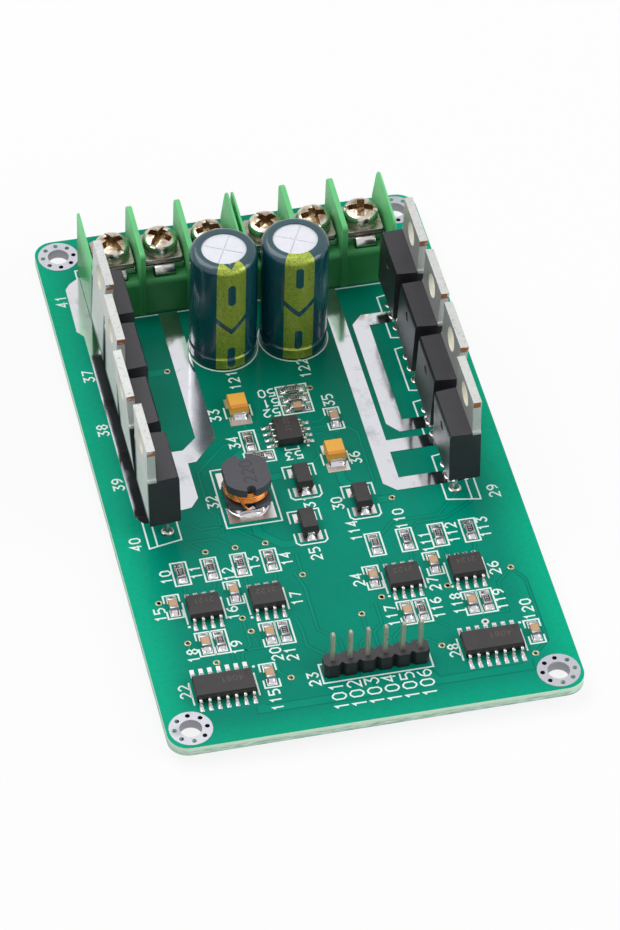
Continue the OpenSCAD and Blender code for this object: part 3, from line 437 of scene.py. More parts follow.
def sleeve_finish(side, stripe_at, slot_z):
    """Dark teal shrink film with a metallic stripe of slots and chevrons.

    The stripe faces stripe_at degrees round from the front, with a slot at slot_z.
    """
    f = Finish("sleeve_film", Coat_Weight=0.4, Coat_Roughness=0.08)
    low, high = corners("capacitor_sleeve_" + side)
    radius = (high.x - low.x) / 2
    dx = f.x - (low.x + high.x) / 2
    dy = f.y - (low.y + high.y) / 2
    turn = f.maths("ARCTAN2", dx, -dy)
    across = (turn - math.radians(stripe_at)) * radius
    reach = f.maths("SQRT", dx * dx + dy * dy)
    # Over the rolled top the film's height goes on growing towards the middle
    roll = 0.6
    up = f.z + f.most(radius - roll - reach, 0.0)
    stripe_half_w = 2.3
    stripe = abs(across).below(stripe_half_w, 0.04)
    # One slot and one chevron to each length of the stripe
    period = 12.6
    slot_h = 4.0
    slot_w = 1.2
    chevron_drop = 7.75
    line_w = 0.75
    phase = f.repeat(up, slot_z, period)
    slot_y = f.most(abs(phase) - (slot_h - slot_w) / 2, 0.0)
    slot = (across * across + slot_y * slot_y).below((slot_w / 2) ** 2, 0.05)
    chevrons = [(phase + rise - abs(across)).between(-line_w * 0.1, line_w * 1.3, 0.04)
                for rise in (chevron_drop, chevron_drop - period)]
    printed = stripe * (1 - f.most(slot, f.most(*chevrons)))
    flakes = f.noise(7.0, 3.0, 0.7)
    gold = f.mix(f.ramp(flakes, 0.36, 0.64), "66781C", "BCCC4C")
    film = f.mix(f.noise(0.3, 3.0), "083A44", "0E4A55")
    f.set("Metallic", printed * 0.6)
    ripples = f.noise(0.55, 3.0, stretch=(1.0, 1.0, 0.25))
    return f.skin(f.mix(printed, film, gold), 0.22 + printed * (0.12 + flakes * 0.16),
                  ripples * 3.0 + flakes * printed * 0.4, 0.02)


def can_finish():
    """Satin aluminium of the can's top."""
    f = Finish("can_top", Metallic=0.3)
    cloud = f.noise(0.9, 4.0, 0.6)
    return f.skin(f.mix(cloud, "D2D3DB", "E6E7EE"), 0.42 + cloud * 0.15,
                  f.noise(4.0, 3.0) * 0.5 + cloud, 0.006)


def ferrite_finish():
    """Dull grey ferrite with small dark pits."""
    f = Finish("ferrite", Metallic=0.15)
    grains = f.noise(5.0, 4.0, 0.7)
    pits = f.cells(2.2).below(0.12, 0.06)
    colour = f.mix(grains, "34343A", "55555D")
    return f.skin(f.mix(pits * 0.5, colour, "26262A"), 0.40 + grains * 0.18, grains * 1.5 - pits,
                  0.02)


def enamel_finish():
    """Copper wire under clear orange enamel."""
    f = Finish("enamelled_wire", Metallic=0.85, Coat_Weight=0.8, Coat_Roughness=0.05)
    tone = f.noise(1.4, 3.0)
    return f.skin(f.mix(tone, "D0640F", "FFA844"), 0.20 + tone * 0.12, f.noise(4.0, 2.0), 0.005)


def tantalum_finish():
    """Amber moulding with a darker polarity band across its front end."""
    f = Finish("tantalum_moulding")
    grains = f.noise(5.0, 3.0)
    colour = f.mix(grains, "EFA534", "FBBE50")
    band_start = 0.1
    band_end = 0.75
    band = 0.0
    for node in TANTALUMS:
        front = corners(node)[0].y
        band = f.y.between(front + band_start, front + band_end, 0.04) + band
    band = band * f.z.above(TOP + 1.6, 0.1)
    return f.skin(f.mix(band * 0.8, colour, "DE8430"), 0.42 + grains * 0.14, grains, 0.012)


def ceramic_finish():
    """Brown fired ceramic, a little greyer on some of the parts."""
    f = Finish("fired_ceramic")
    grains = f.noise(4.0, 4.0, 0.6)
    whole = f.noise(0.12, 1.0)
    colour = f.mix(grains, "B98B5E", "D6AE82")
    return f.skin(f.mix(f.ramp(whole, 0.4, 0.6) * 0.3, colour, "C7B2A0"), 0.38 + grains * 0.18,
                  grains, 0.012)


def resistor_finish():
    """Black glaze over a white ceramic slab."""
    f = Finish("resistor_glaze")
    grains = f.noise(5.0, 3.0)
    glaze = f.mix(grains, "1D1C1E", "34323A")
    slab = f.mix(grains, "BFC0BC", "D9D9D4")
    slab_h = 0.40
    return f.skin(f.mix(f.z.above(TOP + slab_h), slab, glaze), 0.30 + grains * 0.15, grains,
                  0.01)


def even_finish(name, dark, light, rough=0.45, spread=0.15, depth=0.008):
    """A slightly uneven matt colour, such as printing ink or rubber."""
    f = Finish(name)
    grains = f.noise(3.0, 3.0)
    return f.skin(f.mix(grains, dark, light), rough + grains * spread, grains, depth)


def pin_finish():
    """Dull plated brass of the header's pins."""
    f = Finish("plated_pin", Metallic=0.7)
    wear = f.noise(1.5, 3.0, stretch=(1.0, 1.0, 0.3))
    return f.skin(f.mix(wear, "9A9484", "CFCABA"), 0.22 + wear * 0.16, f.noise(4.0, 2.0), 0.006)


def strip_finish():
    """Black nylon, with painted light: paler and purplish where it faces up, as the light falls
    from above.
    """
    f = Finish("header_plastic")
    cloud = f.noise(1.2, 3.0)
    side = f.mix(cloud, "0C0D0F", "1A1B1E")
    top = f.mix(cloud, "232226", "36343A")
    # Painted light: faces turned up get the paler colour, the sides the darker one
    return f.skin(f.mix(f.ramp(f.facing()[2], 0.3, 0.8), side, top),
                  0.34 + f.noise(5.0, 2.0) * 0.2, f.noise(6.0, 3.0), 0.008)


# Modelling

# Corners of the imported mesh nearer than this, in metres, are one
WELD = 2e-6
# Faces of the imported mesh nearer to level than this, in degrees, are one
FLAT = 1.5
# The vent's cross stands at this angle to the board in the photograph
VENT_TURN = 42


def pick(*pieces):
    """Leaves only these pieces selected, with the first one active."""
    bpy.ops.object.select_all(action="DESELECT")
    for piece in pieces:
        piece.select_set(True)
    bpy.context.view_layer.objects.active = pieces[0]


def made():
    """The object that an operator has just made."""
    return bpy.context.view_layer.objects.active


def edit(piece):
    """Opens a piece's mesh, with all of it selected."""
    pick(piece)
    bpy.ops.object.mode_set(mode="EDIT")
    bpy.ops.mesh.select_all(action="SELECT")


def close():
    bpy.ops.object.mode_set(mode="OBJECT")


def dress(piece, material, slot, *replaced):
    """Gives a new piece its finish and its body, and hides the nodes it stands for. Its slot is
    not used.
    """
    piece.data.materials.clear()
    piece.data.materials.append(material)
    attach(piece, "root")
    if replaced:
        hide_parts(*replaced)
    return piece


def slot_of(node):
    """The material slot that the record gives a node."""
    return next(s["material_slot"] for s in frame["record"]["subparts"] if s["node"] == node)


def coat(node, material):
    """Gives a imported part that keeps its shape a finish."""
    nodes[node].data.materials.clear()
    nodes[node].data.materials.append(material)


def soften(node, width, material, segments=2, angle=33):
    """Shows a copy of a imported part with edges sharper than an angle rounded."""
    piece = nodes[node].copy()
    piece.data = nodes[node].data.copy()
    piece.name = node + "_rounded"
    piece.parent = None
    bpy.context.collection.objects.link(piece)
    pick(piece)
    bpy.ops.mesh.customdata_custom_splitnormals_clear()
    edit(piece)
    bpy.ops.mesh.remove_doubles(threshold=WELD)
    bpy.ops.mesh.dissolve_limited(angle_limit=math.radians(FLAT))
    close()
    edges = piece.modifiers.new("edges", "BEVEL")
    edges.width = width * MM
    edges.segments = segments
    edges.limit_method = "ANGLE"
    edges.angle_limit = math.radians(angle)
    edges.miter_outer = "MITER_ARC"
    bpy.ops.object.modifier_apply(modifier="edges")
    bpy.ops.object.shade_smooth_by_angle(angle=math.radians(40))
    level = piece.modifiers.new("normals", "WEIGHTED_NORMAL")
    level.keep_sharp = True
    bpy.ops.object.modifier_apply(modifier="normals")
    return dress(piece, material, slot_of(node), node)


def turn_scores(node, material):
    """A can with the cross of its vent turned to the photograph's angle."""
    piece = soften(node, 0.03, material, 1, 60)
    spot = centre(node)
    edit(piece)
    bpy.ops.transform.rotate(value=math.radians(VENT_TURN), orient_axis="Z",
                             center_override=(spot.x * MM, spot.y * MM, 0))
    close()


def settle(piece):
    """Puts a piece's place, turn and size into its mesh."""
    pick(piece)
    bpy.ops.object.transform_apply(location=True, rotation=True, scale=True)
    return piece


def join(name, pieces):
    """Makes many pieces one, under a name."""
    pick(*pieces)
    if len(pieces) > 1:
        bpy.ops.object.join()
    whole = made()
    whole.name = name
    whole.data.name = name
    return whole


def draw(name, strokes, width, flat=False):
    """Round wires along strokes, each a list of points and whether it is closed."""
    curve = bpy.data.curves.new(name, "CURVE")
    curve.dimensions = "2D" if flat else "3D"
    if flat:
        curve.fill_mode = "NONE"
    curve.bevel_depth = width / 2 * MM
    curve.bevel_resolution = 1 if flat else 2
    curve.use_fill_caps = True
    for points, closed in strokes:
        spline = curve.splines.new("POLY")
        spline.points.add(len(points) - 1)
        for spot, place in zip(spline.points, points):
            x, y, z = (*place, 0)[:3]
            spot.co = (x * MM, y * MM, z * MM, 1)
        spline.use_cyclic_u = closed
    piece = bpy.data.objects.new(name, curve)
    bpy.context.collection.objects.link(piece)
    pick(piece)
    bpy.ops.object.convert(target="MESH")
    piece = made()
    piece.name = name
    return piece


def ribbons(name, strokes, width, height, level):
    """Flat lines with a rounded back at a level, such as ink or copper under mask."""
    piece = draw(name, strokes, width, flat=True)
    piece.scale = (1, 1, height / (width / 2))
    piece.location = (0, 0, level * MM)
    settle(piece)
    bpy.ops.object.shade_smooth_by_angle(angle=math.radians(60))
    return piece


# Outlines for printing: each stroke is a list of points and whether it is closed

def rectangle(cx, cy, w, l):
    """A closed frame by its centre, width and length."""
    return ([(cx - w / 2, cy - l / 2), (cx + w / 2, cy - l / 2),
             (cx + w / 2, cy + l / 2), (cx - w / 2, cy + l / 2)], True)


def arc(cx, cy, r, start, end, steps):
    """Points along an arc, from one angle to another."""
    turns = [math.radians(start + (end - start) * k / steps) for k in range(steps + 1)]
    return [(cx + r * math.cos(t), cy + r * math.sin(t)) for t in turns]


def brackets(cx, cy, w, l, leg, corner=0.0):
    """Two facing brackets, the front one with its corners cut if a corner is given."""
    strokes = []
    left, right = cx - w / 2, cx + w / 2
    for s in (-1, 1):
        y = cy + s * l / 2
        inner = cy + s * (l / 2 - leg)
        bend = [(left, y), (right, y)]
        if corner and s < 0:
            bend = [(left, y + corner), (left + corner, y),
                    (right - corner, y), (right, y + corner)]
        strokes.append(([(left, inner), *bend, (right, inner)], False))
    return strokes


def dot(x, y):
    """A small filled spot, such as marks a chip's first lead."""
    return (arc(x, y, DOT_R, 0, 300, 6), True)


# Radius of a printed spot's outline
DOT_R = 0.1
# Strokes of each digit, in a cell 1 high and DIGIT_W wide
DIGIT_W = 0.6
DIGIT_STEP = 0.95
DIGITS = {
    "0": [[(0, .2), (0, .8), (.2, 1), (.4, 1), (.6, .8), (.6, .2), (.4, 0), (.2, 0), (0, .2)]],
    "1": [[(.1, .8), (.3, 1), (.3, 0)]],
    "2": [[(0, .8), (.2, 1), (.4, 1), (.6, .8), (.6, .6), (0, 0), (.6, 0)]],
    "3": [[(0, 1), (.6, 1), (.3, .6), (.6, .4), (.6, .2), (.4, 0), (.2, 0), (0, .2)]],
    "4": [[(.45, 0), (.45, 1), (0, .35), (.6, .35)]],
    "5": [[(.6, 1), (0, 1), (0, .55), (.4, .6), (.6, .4), (.6, .2), (.4, 0), (0, 0)]],
    "6": [[(.5, 1), (.15, .8), (0, .5), (0, .2), (.2, 0), (.4, 0), (.6, .2), (.6, .35),
           (.4, .55), (.1, .5)]],
    "7": [[(0, 1), (.6, 1), (.2, 0)]],
    "8": [[(.2, .55), (0, .75), (.2, 1), (.4, 1), (.6, .75), (.4, .55), (.2, .55), (0, .3),
           (.2, 0), (.4, 0), (.6, .3), (.4, .55)]],
    "9": [[(.1, 0), (.45, .2), (.6, .5), (.6, .8), (.4, 1), (.2, 1), (0, .8), (0, .65),
           (.2, .45), (.5, .5)]],
}


def number(value, cx, cy, turn, size):
    """A plain number, centred at a point and turned anticlockwise."""
    text = str(value)
    length = DIGIT_STEP * (len(text) - 1) + DIGIT_W
    t = math.radians(turn)
    strokes = []
    for k, digit in enumerate(text):
        for path in DIGITS[digit]:
            points = []
            for u, v in path:
                a = (u + k * DIGIT_STEP - length / 2) * size
                b = (v - 0.5) * size
                points.append((cx + a * math.cos(t) - b * math.sin(t),
                               cy + a * math.sin(t) + b * math.cos(t)))
            strokes.append((points, False))
    return strokes


# Places of the plain numbers that stand beside the parts
SHORT_LABELS = [
    (-24.0, -20.1), (-19.6, -20.0), (-15.1, -21.3), (-11.1, -19.9), (-6.3, -20.0), (-26.3, -27.1),
    (-16.1, -28.8), (-6.6, -27.9), (-23.3, -35.7), (-16.9, -35.4), (-11.8, -37.8), (-9.7, -38.2),
    (-25.9, -42.2), (-7.7, -43.6), (2.8, -26.2), (-2.0, -19.9), (22.5, -27.9), (13.3, -29.2),
    (13.0, -42.3), (26.3, -12.9), (3.4, -10.8), (-0.6, -9.6), (-14.4, -6.9), (-10.3, 10.5),
    (-8.7, 4.4), (6.9, 10.3), (8.1, -2.2), (-27.0, 22.4), (-27.1, 10.8), (-27.1, -0.6),
    (-27.0, -12.9), (-27.8, 39.1),
]
LONG_LABELS = [
    (11.6, -15.6), (14.3, -20.9), (18.4, -19.8), (23.1, -19.7), (4.6, -16.6), (-13.7, -46.2),
    (12.7, -33.8), (6.0, -34.0), (15.7, -33.6), (21.9, -34.0), (25.2, -36.7), (-5.9, 17.3),
    (4.9, 17.7),
]
TURNED_LABELS = [(-1.8, 13.6), (-1.6, 11.5), (-1.9, 9.4), (-0.6, 0.1)]
# First number, places and turn of each set
LABELS = [(10, SHORT_LABELS, 90), (110, LONG_LABELS, 90), (50, TURNED_LABELS, 180)]
LABEL_SIZE = 1.5
# Heights of the ink on the board and of the marks on the chips
INK_H = 0.03
MARK_H = 0.02
LEGEND_FIRST = 101
LEGEND_SIZE = 1.9
# Frame round a chip resistor or ceramic capacitor, and the legs of its brackets
SMALL_FRAME = (2.25, 4.5)
SMALL_LEG = 1.45
# The lying parts behind this line share one frame
GROUP_FRONT = 8
GROUP_W = 4.6
# Width, length, legs and cut corners of the brackets round a diode
DIODE_BRACKETS = (4.6, 6.8, 2.4, 0.5)
INDUCTOR_FRAME = (8.2, 11.9)
# The transistors' legs stand along these lines, and the outline reaches out from them
LEG_ROWS = [(LEFT_ROW, -1, -22.0), (RIGHT_ROW, 1, 20.9)]
LEGS_TO_INNER = 1.7
LEGS_TO_TAB = 1.95
LEGS_TO_OUTER = 3.2
CAN_RING_R = 5.25


def print_board():
    """All the white printing on the board's top face."""
    strokes = print_small_parts() + print_chips() + print_transistors() + print_connectors()
    for first, places, turn in LABELS:
        for k, (x, y) in enumerate(places):
            strokes += number(first + k, x, y, turn, LABEL_SIZE)
    return strokes


def print_small_parts():
    """Frames and brackets round the resistors, capacitors, diodes and inductor."""
    strokes = []
    group = []
    resistors = solids("resistor_bodies")
    ceramics = solids("ceramic_bodies")
    for spot, size in resistors + ceramics:
        lying = size.x > size.y
        if lying and spot.y > GROUP_FRONT:
            group.append(spot)
            continue
        w, l = reversed(SMALL_FRAME) if lying else SMALL_FRAME
        if (spot, size) in ceramics:
            strokes += brackets(spot.x, spot.y, w, l, SMALL_LEG)
        else:
            strokes.append(rectangle(spot.x, spot.y, w, l))
    # The group's frame has a tick at each side between its parts
    group.sort(key=lambda g: g.y)
    gx = group[0].x
    low, high = group[0].y - 1.0, group[-1].y + 1.05
    tick = 0.8
    strokes.append(rectangle(gx, (low + high) / 2, GROUP_W, high - low))
    for one, other in zip(group, group[1:]):
        y = (one.y + other.y) / 2
        strokes += [([(gx + s * GROUP_W / 2, y), (gx + s * (GROUP_W / 2 - tick), y)], False)
                    for s in (-1, 1)]
    for spot, _ in solids("diode_bodies"):
        strokes += brackets(spot.x, spot.y, *DIODE_BRACKETS)
    core = centre("inductor_core")
    strokes.append(rectangle(core.x, core.y, *INDUCTOR_FRAME))
    for node in TANTALUMS:
        spot = centre(node)
        for x in (spot.x - 1.95, spot.x + 1.95):
            strokes.append(([(x, spot.y - 1.6), (x, spot.y + 0.8)], False))
    return strokes


def print_chips():
    """A line past each end of a chip and a spot by its first lead."""
    strokes = []
    for node in CHIPS:
        low, high = corners(node)
        if node.startswith("converter"):
            x = (low.x + high.x) / 2
            strokes.append(([(x - 1.0, low.y - 0.1), (x - 1.0, low.y - 0.65),
                             (x + 1.0, low.y - 0.65), (x + 1.0, low.y - 0.1)], False))
            strokes.append(dot(high.x + 0.55, low.y - 0.3))
            continue
        for x in (low.x - 0.35, high.x + 0.35):
            strokes.append(([(x, low.y - 0.2), (x, high.y + 0.2)], False))
        if node.startswith("logic"):
            strokes.append(dot(high.x + 0.6, high.y + 1.4))
        else:
            strokes.append(dot(low.x - 0.3, low.y - 0.7))
    return strokes


def print_top(node):
    """A plain number on top of a chip or the inductor, and its stroke's width."""
    c = centre(node)
    if node == "inductor_core":
        return number(220, c.x + 0.2, c.y + 0.1, 90, 1.7), 0.24
    if node.startswith("logic"):
        return number(4081, c.x + 1.2, c.y + 0.4, 180, 0.9), 0.12
    turn = 90 if node.startswith("converter") else 180
    return number(2120 + CHIPS.index(node), c.x, c.y + 0.6, turn, 0.8), 0.12


def print_transistors():
    """An outline under each transistor, with a line along its tab."""
    strokes = []
    for row, side, legs in LEG_ROWS:
        inner = legs - side * LEGS_TO_INNER
        tab = legs + side * LEGS_TO_TAB
        outer = legs + side * LEGS_TO_OUTER
        for node in row:
            y = centre(node).y
            strokes.append(([(inner, y - 4.5), (inner, y + 4.5), (outer, y + 5.4),
                             (outer, y - 5.4)], True))
            strokes.append(([(tab, y - 5.1), (tab, y + 5.1)], False))
    return strokes


def print_connectors():
    """Frames round the header and the blocks, the header's numbers, rings round the cans."""
    low, high = corners("header_strip")
    left, right = low.x - 0.3, high.x + 0.3
    front, back = low.y - 0.75, high.y + 0.35
    strokes = [([(left, back), (right, back), (right, front), (left, front)], True)]
    pins = sorted(spot.x for spot, _ in solids("header_pins"))
    for k, x in enumerate(pins):
        strokes += number(LEGEND_FIRST + k, x, low.y - 3.5, 90, LEGEND_SIZE)
    low = corners("terminal_block_left")[0]
    high = corners("terminal_block_right")[1]
    left, right = low.x - 0.35, high.x + 0.35
    front, back = low.y - 0.2, high.y + 0.3
    strokes.append(([(left, front), (right, front), (right, back), (left, back)], True))
    for side in SIDES:
        c = centre("capacitor_can_" + side)
        strokes.append((arc(c.x, c.y, CAN_RING_R, 0, 350, 35), True))
    return strokes


# Copper under the mask: routes chosen, with 45 degree bends
FINE_ROUTES = [
    [(-4.9, -41.2), (-4.9, -39.5), (-7.2, -37.2), (-7.2, -34.0), (-7.6, -31.8)],
    [(-2.36, -41.2), (-2.36, -37.0), (-5.0, -34.4), (-5.0, -26.0), (-5.8, -23.0)],
    [(0.18, -41.2), (0.18, -38.5), (1.8, -36.9), (1.8, -32.8)],
    [(2.72, -41.2), (2.72, -36.5), (4.2, -35.0), (4.2, -31.0)],
    [(5.26, -41.2), (5.26, -38.0), (7.0, -36.3), (12.0, -36.3), (13.6, -37.9)],
    [(7.8, -41.2), (7.8, -39.4), (9.8, -39.4), (11.5, -41.05)],
    [(-16.6, -38.8), (-16.6, -37.0), (-15.0, -35.4), (-15.0, -30.15)],
    [(-20.4, -38.6), (-20.4, -37.7), (-23.6, -34.5), (-23.6, -33.3)],
    [(-17.9, -38.7), (-17.9, -36.2), (-13.4, -36.2), (-13.4, -33.8), (-14.35, -32.85)],
    [(-10.75, -42.6), (-12.2, -41.2), (-12.2, -38.0), (-10.6, -36.4)],
    [(18.65, -37.85), (18.65, -36.4), (22.4, -36.4), (22.4, -30.8), (24.9, -28.3)],
    [(24.15, -45.2), (26.4, -43.0), (26.4, -31.0), (25.6, -29.6), (24.9, -28.3)],
    [(-18.1, -31.4), (-18.1, -32.2)], [(-19.4, -31.4), (-19.4, -32.4)],
    [(-21.9, -24.0), (-21.9, -21.9)], [(-18.1, -24.0), (-17.5, -23.2), (-17.5, -22.1)],
    [(-13.0, -24.0), (-13.0, -21.9)], [(-9.0, -24.0), (-8.6, -23.2), (-8.6, -22.0)],
    [(7.3, -24.0), (6.9, -23.2), (6.9, -21.9)], [(11.1, -24.0), (11.5, -23.3), (11.5, -22.0)],
    [(16.6, -24.0), (16.2, -23.2), (16.2, -21.9)], [(20.4, -24.0), (20.9, -23.2), (20.9, -22.0)],
    [(-17.5, -16.4), (-20.5, -13.4), (-22.0, -11.3)],
    [(-13.1, -16.4), (-15.4, -14.1), (-19.6, -14.1), (-22.0, -11.3)],
    [(-8.65, -16.4), (-13.2, -11.9), (-17.2, -11.9), (-18.6, -10.5)],
    [(8.1, -18.25), (10.4, -15.9), (17.2, -15.9), (20.9, -12.2)],
    [(12.3, -18.35), (13.9, -16.8), (18.1, -16.8), (23.8, -13.4)],
    [(-4.75, -23.6), (-4.75, -19.2)],
    [(-7.9, 4.2), (-10.4, 4.2), (-15.2, -0.6), (-15.2, -8.4), (-14.1, -9.6), (-14.1, -13.2)],
    [(3.4, 5.1), (5.2, 5.1), (6.9, 3.4)], [(3.4, 6.3), (4.8, 6.3), (5.8, 7.3)],
    [(3.4, 3.8), (4.4, 3.8), (6.9, 1.4)], [(4.8, 13.4), (3.6, 13.4)],
    [(-4.6, 3.8), (-5.4, 3.0), (-5.4, 1.9)], [(-4.6, 5.1), (-6.4, 6.9), (-6.4, 8.4)],
    [(0.7, -3.1), (3.0, -0.8), (3.0, 0.9)], [(-0.65, -1.8), (-0.65, 0.6), (-2.6, 2.2)],
    [(8.3, -8.6), (9.6, -7.3), (9.6, 3.0), (8.1, 4.6)],
]
BROAD_ROUTES = [
    [(-9.2, -1.6), (-9.2, 1.2), (-7.9, 2.4)],
    [(-9.2, -12.2), (-9.2, -14.2), (-6.2, -17.2), (-3.0, -17.2)],
    [(-5.6, -3.6), (-3.4, -3.6)],
    [(5.2, -4.6), (5.2, -6.6), (6.9, -8.3)],
    [(-15.3, 21.1), (-18.9, 21.1)],
    [(11.45, -11.25), (9.3, -11.25)],
    [(-0.4, -42.6), (-0.4, -47.6), (-16.0, -47.6), (-16.0, -46.8)],
    [(7.8, -44.2), (9.4, -47.4), (22.6, -47.4), (22.6, -46.2)],
]
UNDER_ROUTES = [
    [(-20.0, 26.0), (-14.0, 20.0), (-14.0, -10.0), (-9.0, -15.0), (-9.0, -38.0)],
    [(18.0, 26.0), (13.0, 21.0), (13.0, -12.0), (8.0, -17.0), (8.0, -38.0)],
    [(-26.0, -24.9), (-20.0, -18.9), (20.0, -18.9), (24.9, -23.8), (24.9, -28.3)],
    [(-23.6, -33.3), (-17.0, -33.3), (-13.0, -37.3), (1.8, -37.3), (1.8, -32.8)],
    [(-10.75, -42.6), (-10.75, -47.0), (20.0, -47.0), (24.15, -45.2)],
    [(-15.3, 21.1), (-6.0, 11.8), (3.2, 11.8), (4.8, 13.4)],
]
UNDER_POURS = [
    [(-22.0, -11.0), (-22.0, 28.5)], [(20.9, -11.0), (20.9, 28.5)],
    [(-20.0, 35.6), (-20.0, 30.0), (-14.0, 24.0)], [(18.3, 35.6), (18.3, 30.0)],
    [(-5.3, 35.6), (-5.3, 14.0), (3.6, 14.0), (3.6, 35.6)],
]
# How deep a route's or mark's flat side sinks into the face that carries it
SUNK = 0.004
# Name, routes, width and level of each layer
COPPER = [
    ("fine", FINE_ROUTES, 0.42, TOP - SUNK),
    ("broad", BROAD_ROUTES, 1.6, TOP - SUNK),
    ("under", UNDER_ROUTES, 0.9, BOTTOM + SUNK),
    ("pour", UNDER_POURS, 3.2, BOTTOM + SUNK),
]
# How much wider than a route the bare gap round it is, and how high the two stand
GAP_EXTRA = 0.42
GAP_H = 0.014
ROUTE_H = 0.024


# Solder on the small parts' pads

flange_low, flange_high = corners("inductor_core")
FLANGE_R = (flange_high.y - flange_low.y) / 2
# How far each kind of mound lies out from its part's middle, and its width and length
TERMINATION_OUT = 1.42
TERMINATION_MOUND = (1.2, 0.84)
RESISTOR_MOUND_H = 0.30
CERAMIC_MOUND_H = 0.55
# The same with the height as well
LEAD_OUT = 3.25
LEAD_MOUND = (0.56, 0.62, 0.2)
TANTALUM_OUT = 1.98
TANTALUM_MOUND = (2.5, 0.55, 0.85)
CLIP_OUT = 2.62
CLIP_MOUND = (1.5, 0.6, 1.05)
# The fillets round the flange are shaped at their real size
REAL_SIZE = (1, 1, 1)
# Level of the mounds' undersides, just within the pads
MOUND_LEVEL = TOP + 0.045


def mound(cuts, shape):
    """A block of solder whose points a function moves: (across, outward, up) to x, y, z."""
    bpy.ops.mesh.primitive_cube_add(size=1, location=(0, 0, 0.5))
    piece = settle(made())
    edit(piece)
    bpy.ops.mesh.subdivide(number_cuts=cuts)
    bpy.ops.mesh.select_all(action="DESELECT")
    close()
    for spot in piece.data.vertices:
        spot.co = shape(2 * spot.co.x, spot.co.y + 0.5, spot.co.z)
    bpy.ops.object.shade_smooth()
    return piece


def wedge(across, outward, up):
    """High at its inner end, running out flat over the pad."""
    middle = 1 - across ** 4 * 0.45
    rise = (0.1 + 0.9 * (1 - outward) ** 1.9) * middle
    return (across / 2 * (1 - 0.12 * outward), outward - 0.5, up * rise)


def peak(across, outward, up):
    """Climbs to a point up the middle of a narrow clip."""
    rise = (0.08 + 0.92 * (1 - outward) ** 1.6) * (1 - abs(across)) ** 0.8 + 0.05
    return (across / 2, outward - 0.5, up * rise)


def crescent(across, outward, up):
    """A fillet round the front of a flange, in millimetres, with a dip in its middle."""
    turn = math.radians(56) * across
    fade = 1 - abs(across) ** 2.2
    dip = math.exp(-((across + 0.1) / 0.09) ** 2)
    width = 0.3 + 0.75 * fade - 0.25 * dip
    reach = FLANGE_R - 0.15 + outward * width
    height = (0.25 + 0.6 * fade + 0.3 * dip) * 1.2
    rise = (0.04 + 0.96 * (1 - outward) ** 1.7) * height
    return (reach * math.sin(turn), reach * math.cos(turn), up * rise)


def two_ends(x, y, out, lying=False):
    """Place and turn of each end of a part, at a distance from its middle."""
    if lying:
        return [(x - out, y, 90), (x + out, y, -90)]
    return [(x, y - out, 180), (x, y + out, 0)]


def wedge_places():
    """Place, turn and size of each plain mound: x, y, turn, width, length, height."""
    places = []
    for node, height in (("resistor_bodies", RESISTOR_MOUND_H),
                         ("ceramic_bodies", CERAMIC_MOUND_H)):
        for spot, size in solids(node):
            ends = two_ends(spot.x, spot.y, TERMINATION_OUT, size.x > size.y)
            places += [(*end, *TERMINATION_MOUND, height) for end in ends]
    for node in CHIPS:
        c = centre(node)
        count = 7 if node.startswith("logic") else 4
        for k in range(count):
            along = (k - (count - 1) / 2) * LEAD_PITCH
            if node.startswith("converter"):
                ends = two_ends(c.x, c.y + along, LEAD_OUT, True)
            else:
                ends = two_ends(c.x + along, c.y, LEAD_OUT)
            places += [(*end, *LEAD_MOUND) for end in ends]
    for node in TANTALUMS:
        spot = centre(node)
        places += [(*end, *TANTALUM_MOUND) for end in two_ends(spot.x, spot.y, TANTALUM_OUT)]
    return places


def scatter(model, places, dice):
    """Copies of a mound at each place, no two quite alike."""
    copies = []
    for x, y, turn, width, length, height in places:
        copy = model.copy()
        copy.data = model.data.copy()
        bpy.context.collection.objects.link(copy)
        grow = dice.uniform(0.9, 1.08)
        copy.scale = (width * MM * grow, length * MM, height * MM * dice.uniform(0.8, 1.12))
        copy.rotation_euler = (0, 0, math.radians(turn + dice.uniform(-4, 4)))
        copy.location = (x * MM, y * MM, MOUND_LEVEL * MM)
        copies.append(copy)
    bpy.data.objects.remove(model)
    return copies


def solder_mounds(material):
    """Every mound of solder on the board's top face, as one piece."""
    dice = random.Random(11)
    copies = scatter(mound(4, wedge), wedge_places(), dice)
    spot = centre("inductor_core")
    fillets = [(*end, *REAL_SIZE) for end in two_ends(spot.x, spot.y, 0)]
    copies += scatter(mound(19, crescent), fillets, dice)
    clips = [(*end, *CLIP_MOUND) for spot, _ in solids("diode_bodies")
             for end in two_ends(spot.x, spot.y, CLIP_OUT)]
    copies += scatter(mound(6, peak), clips, dice)
    return dress(settle(join("small_part_solder", copies)), material, "solder")


def via_rings(material):
    """Raised rims of tin round the plated holes."""
    widest = 1.2
    rings = []
    for spot, size in solids("component_pads"):
        if abs(size.x - size.y) < 0.02 and size.x < widest:
            bpy.ops.mesh.primitive_torus_add(major_segments=24, minor_segments=8,
                                             major_radius=0.40 * MM, minor_radius=0.16 * MM)
            ring = made()
            ring.scale = (1, 1, 0.5)
            ring.location = (spot.x * MM, spot.y * MM, (TOP + 0.04) * MM)
            rings.append(ring)
    piece = settle(join("via_rims", rings))
    bpy.ops.object.shade_smooth()
    return dress(piece, material, "tinned_copper")


# The inductor's winding

WIRE = 0.38
TURNS = 6
TURN_STEPS = 24
CROSSING_STEPS = 12


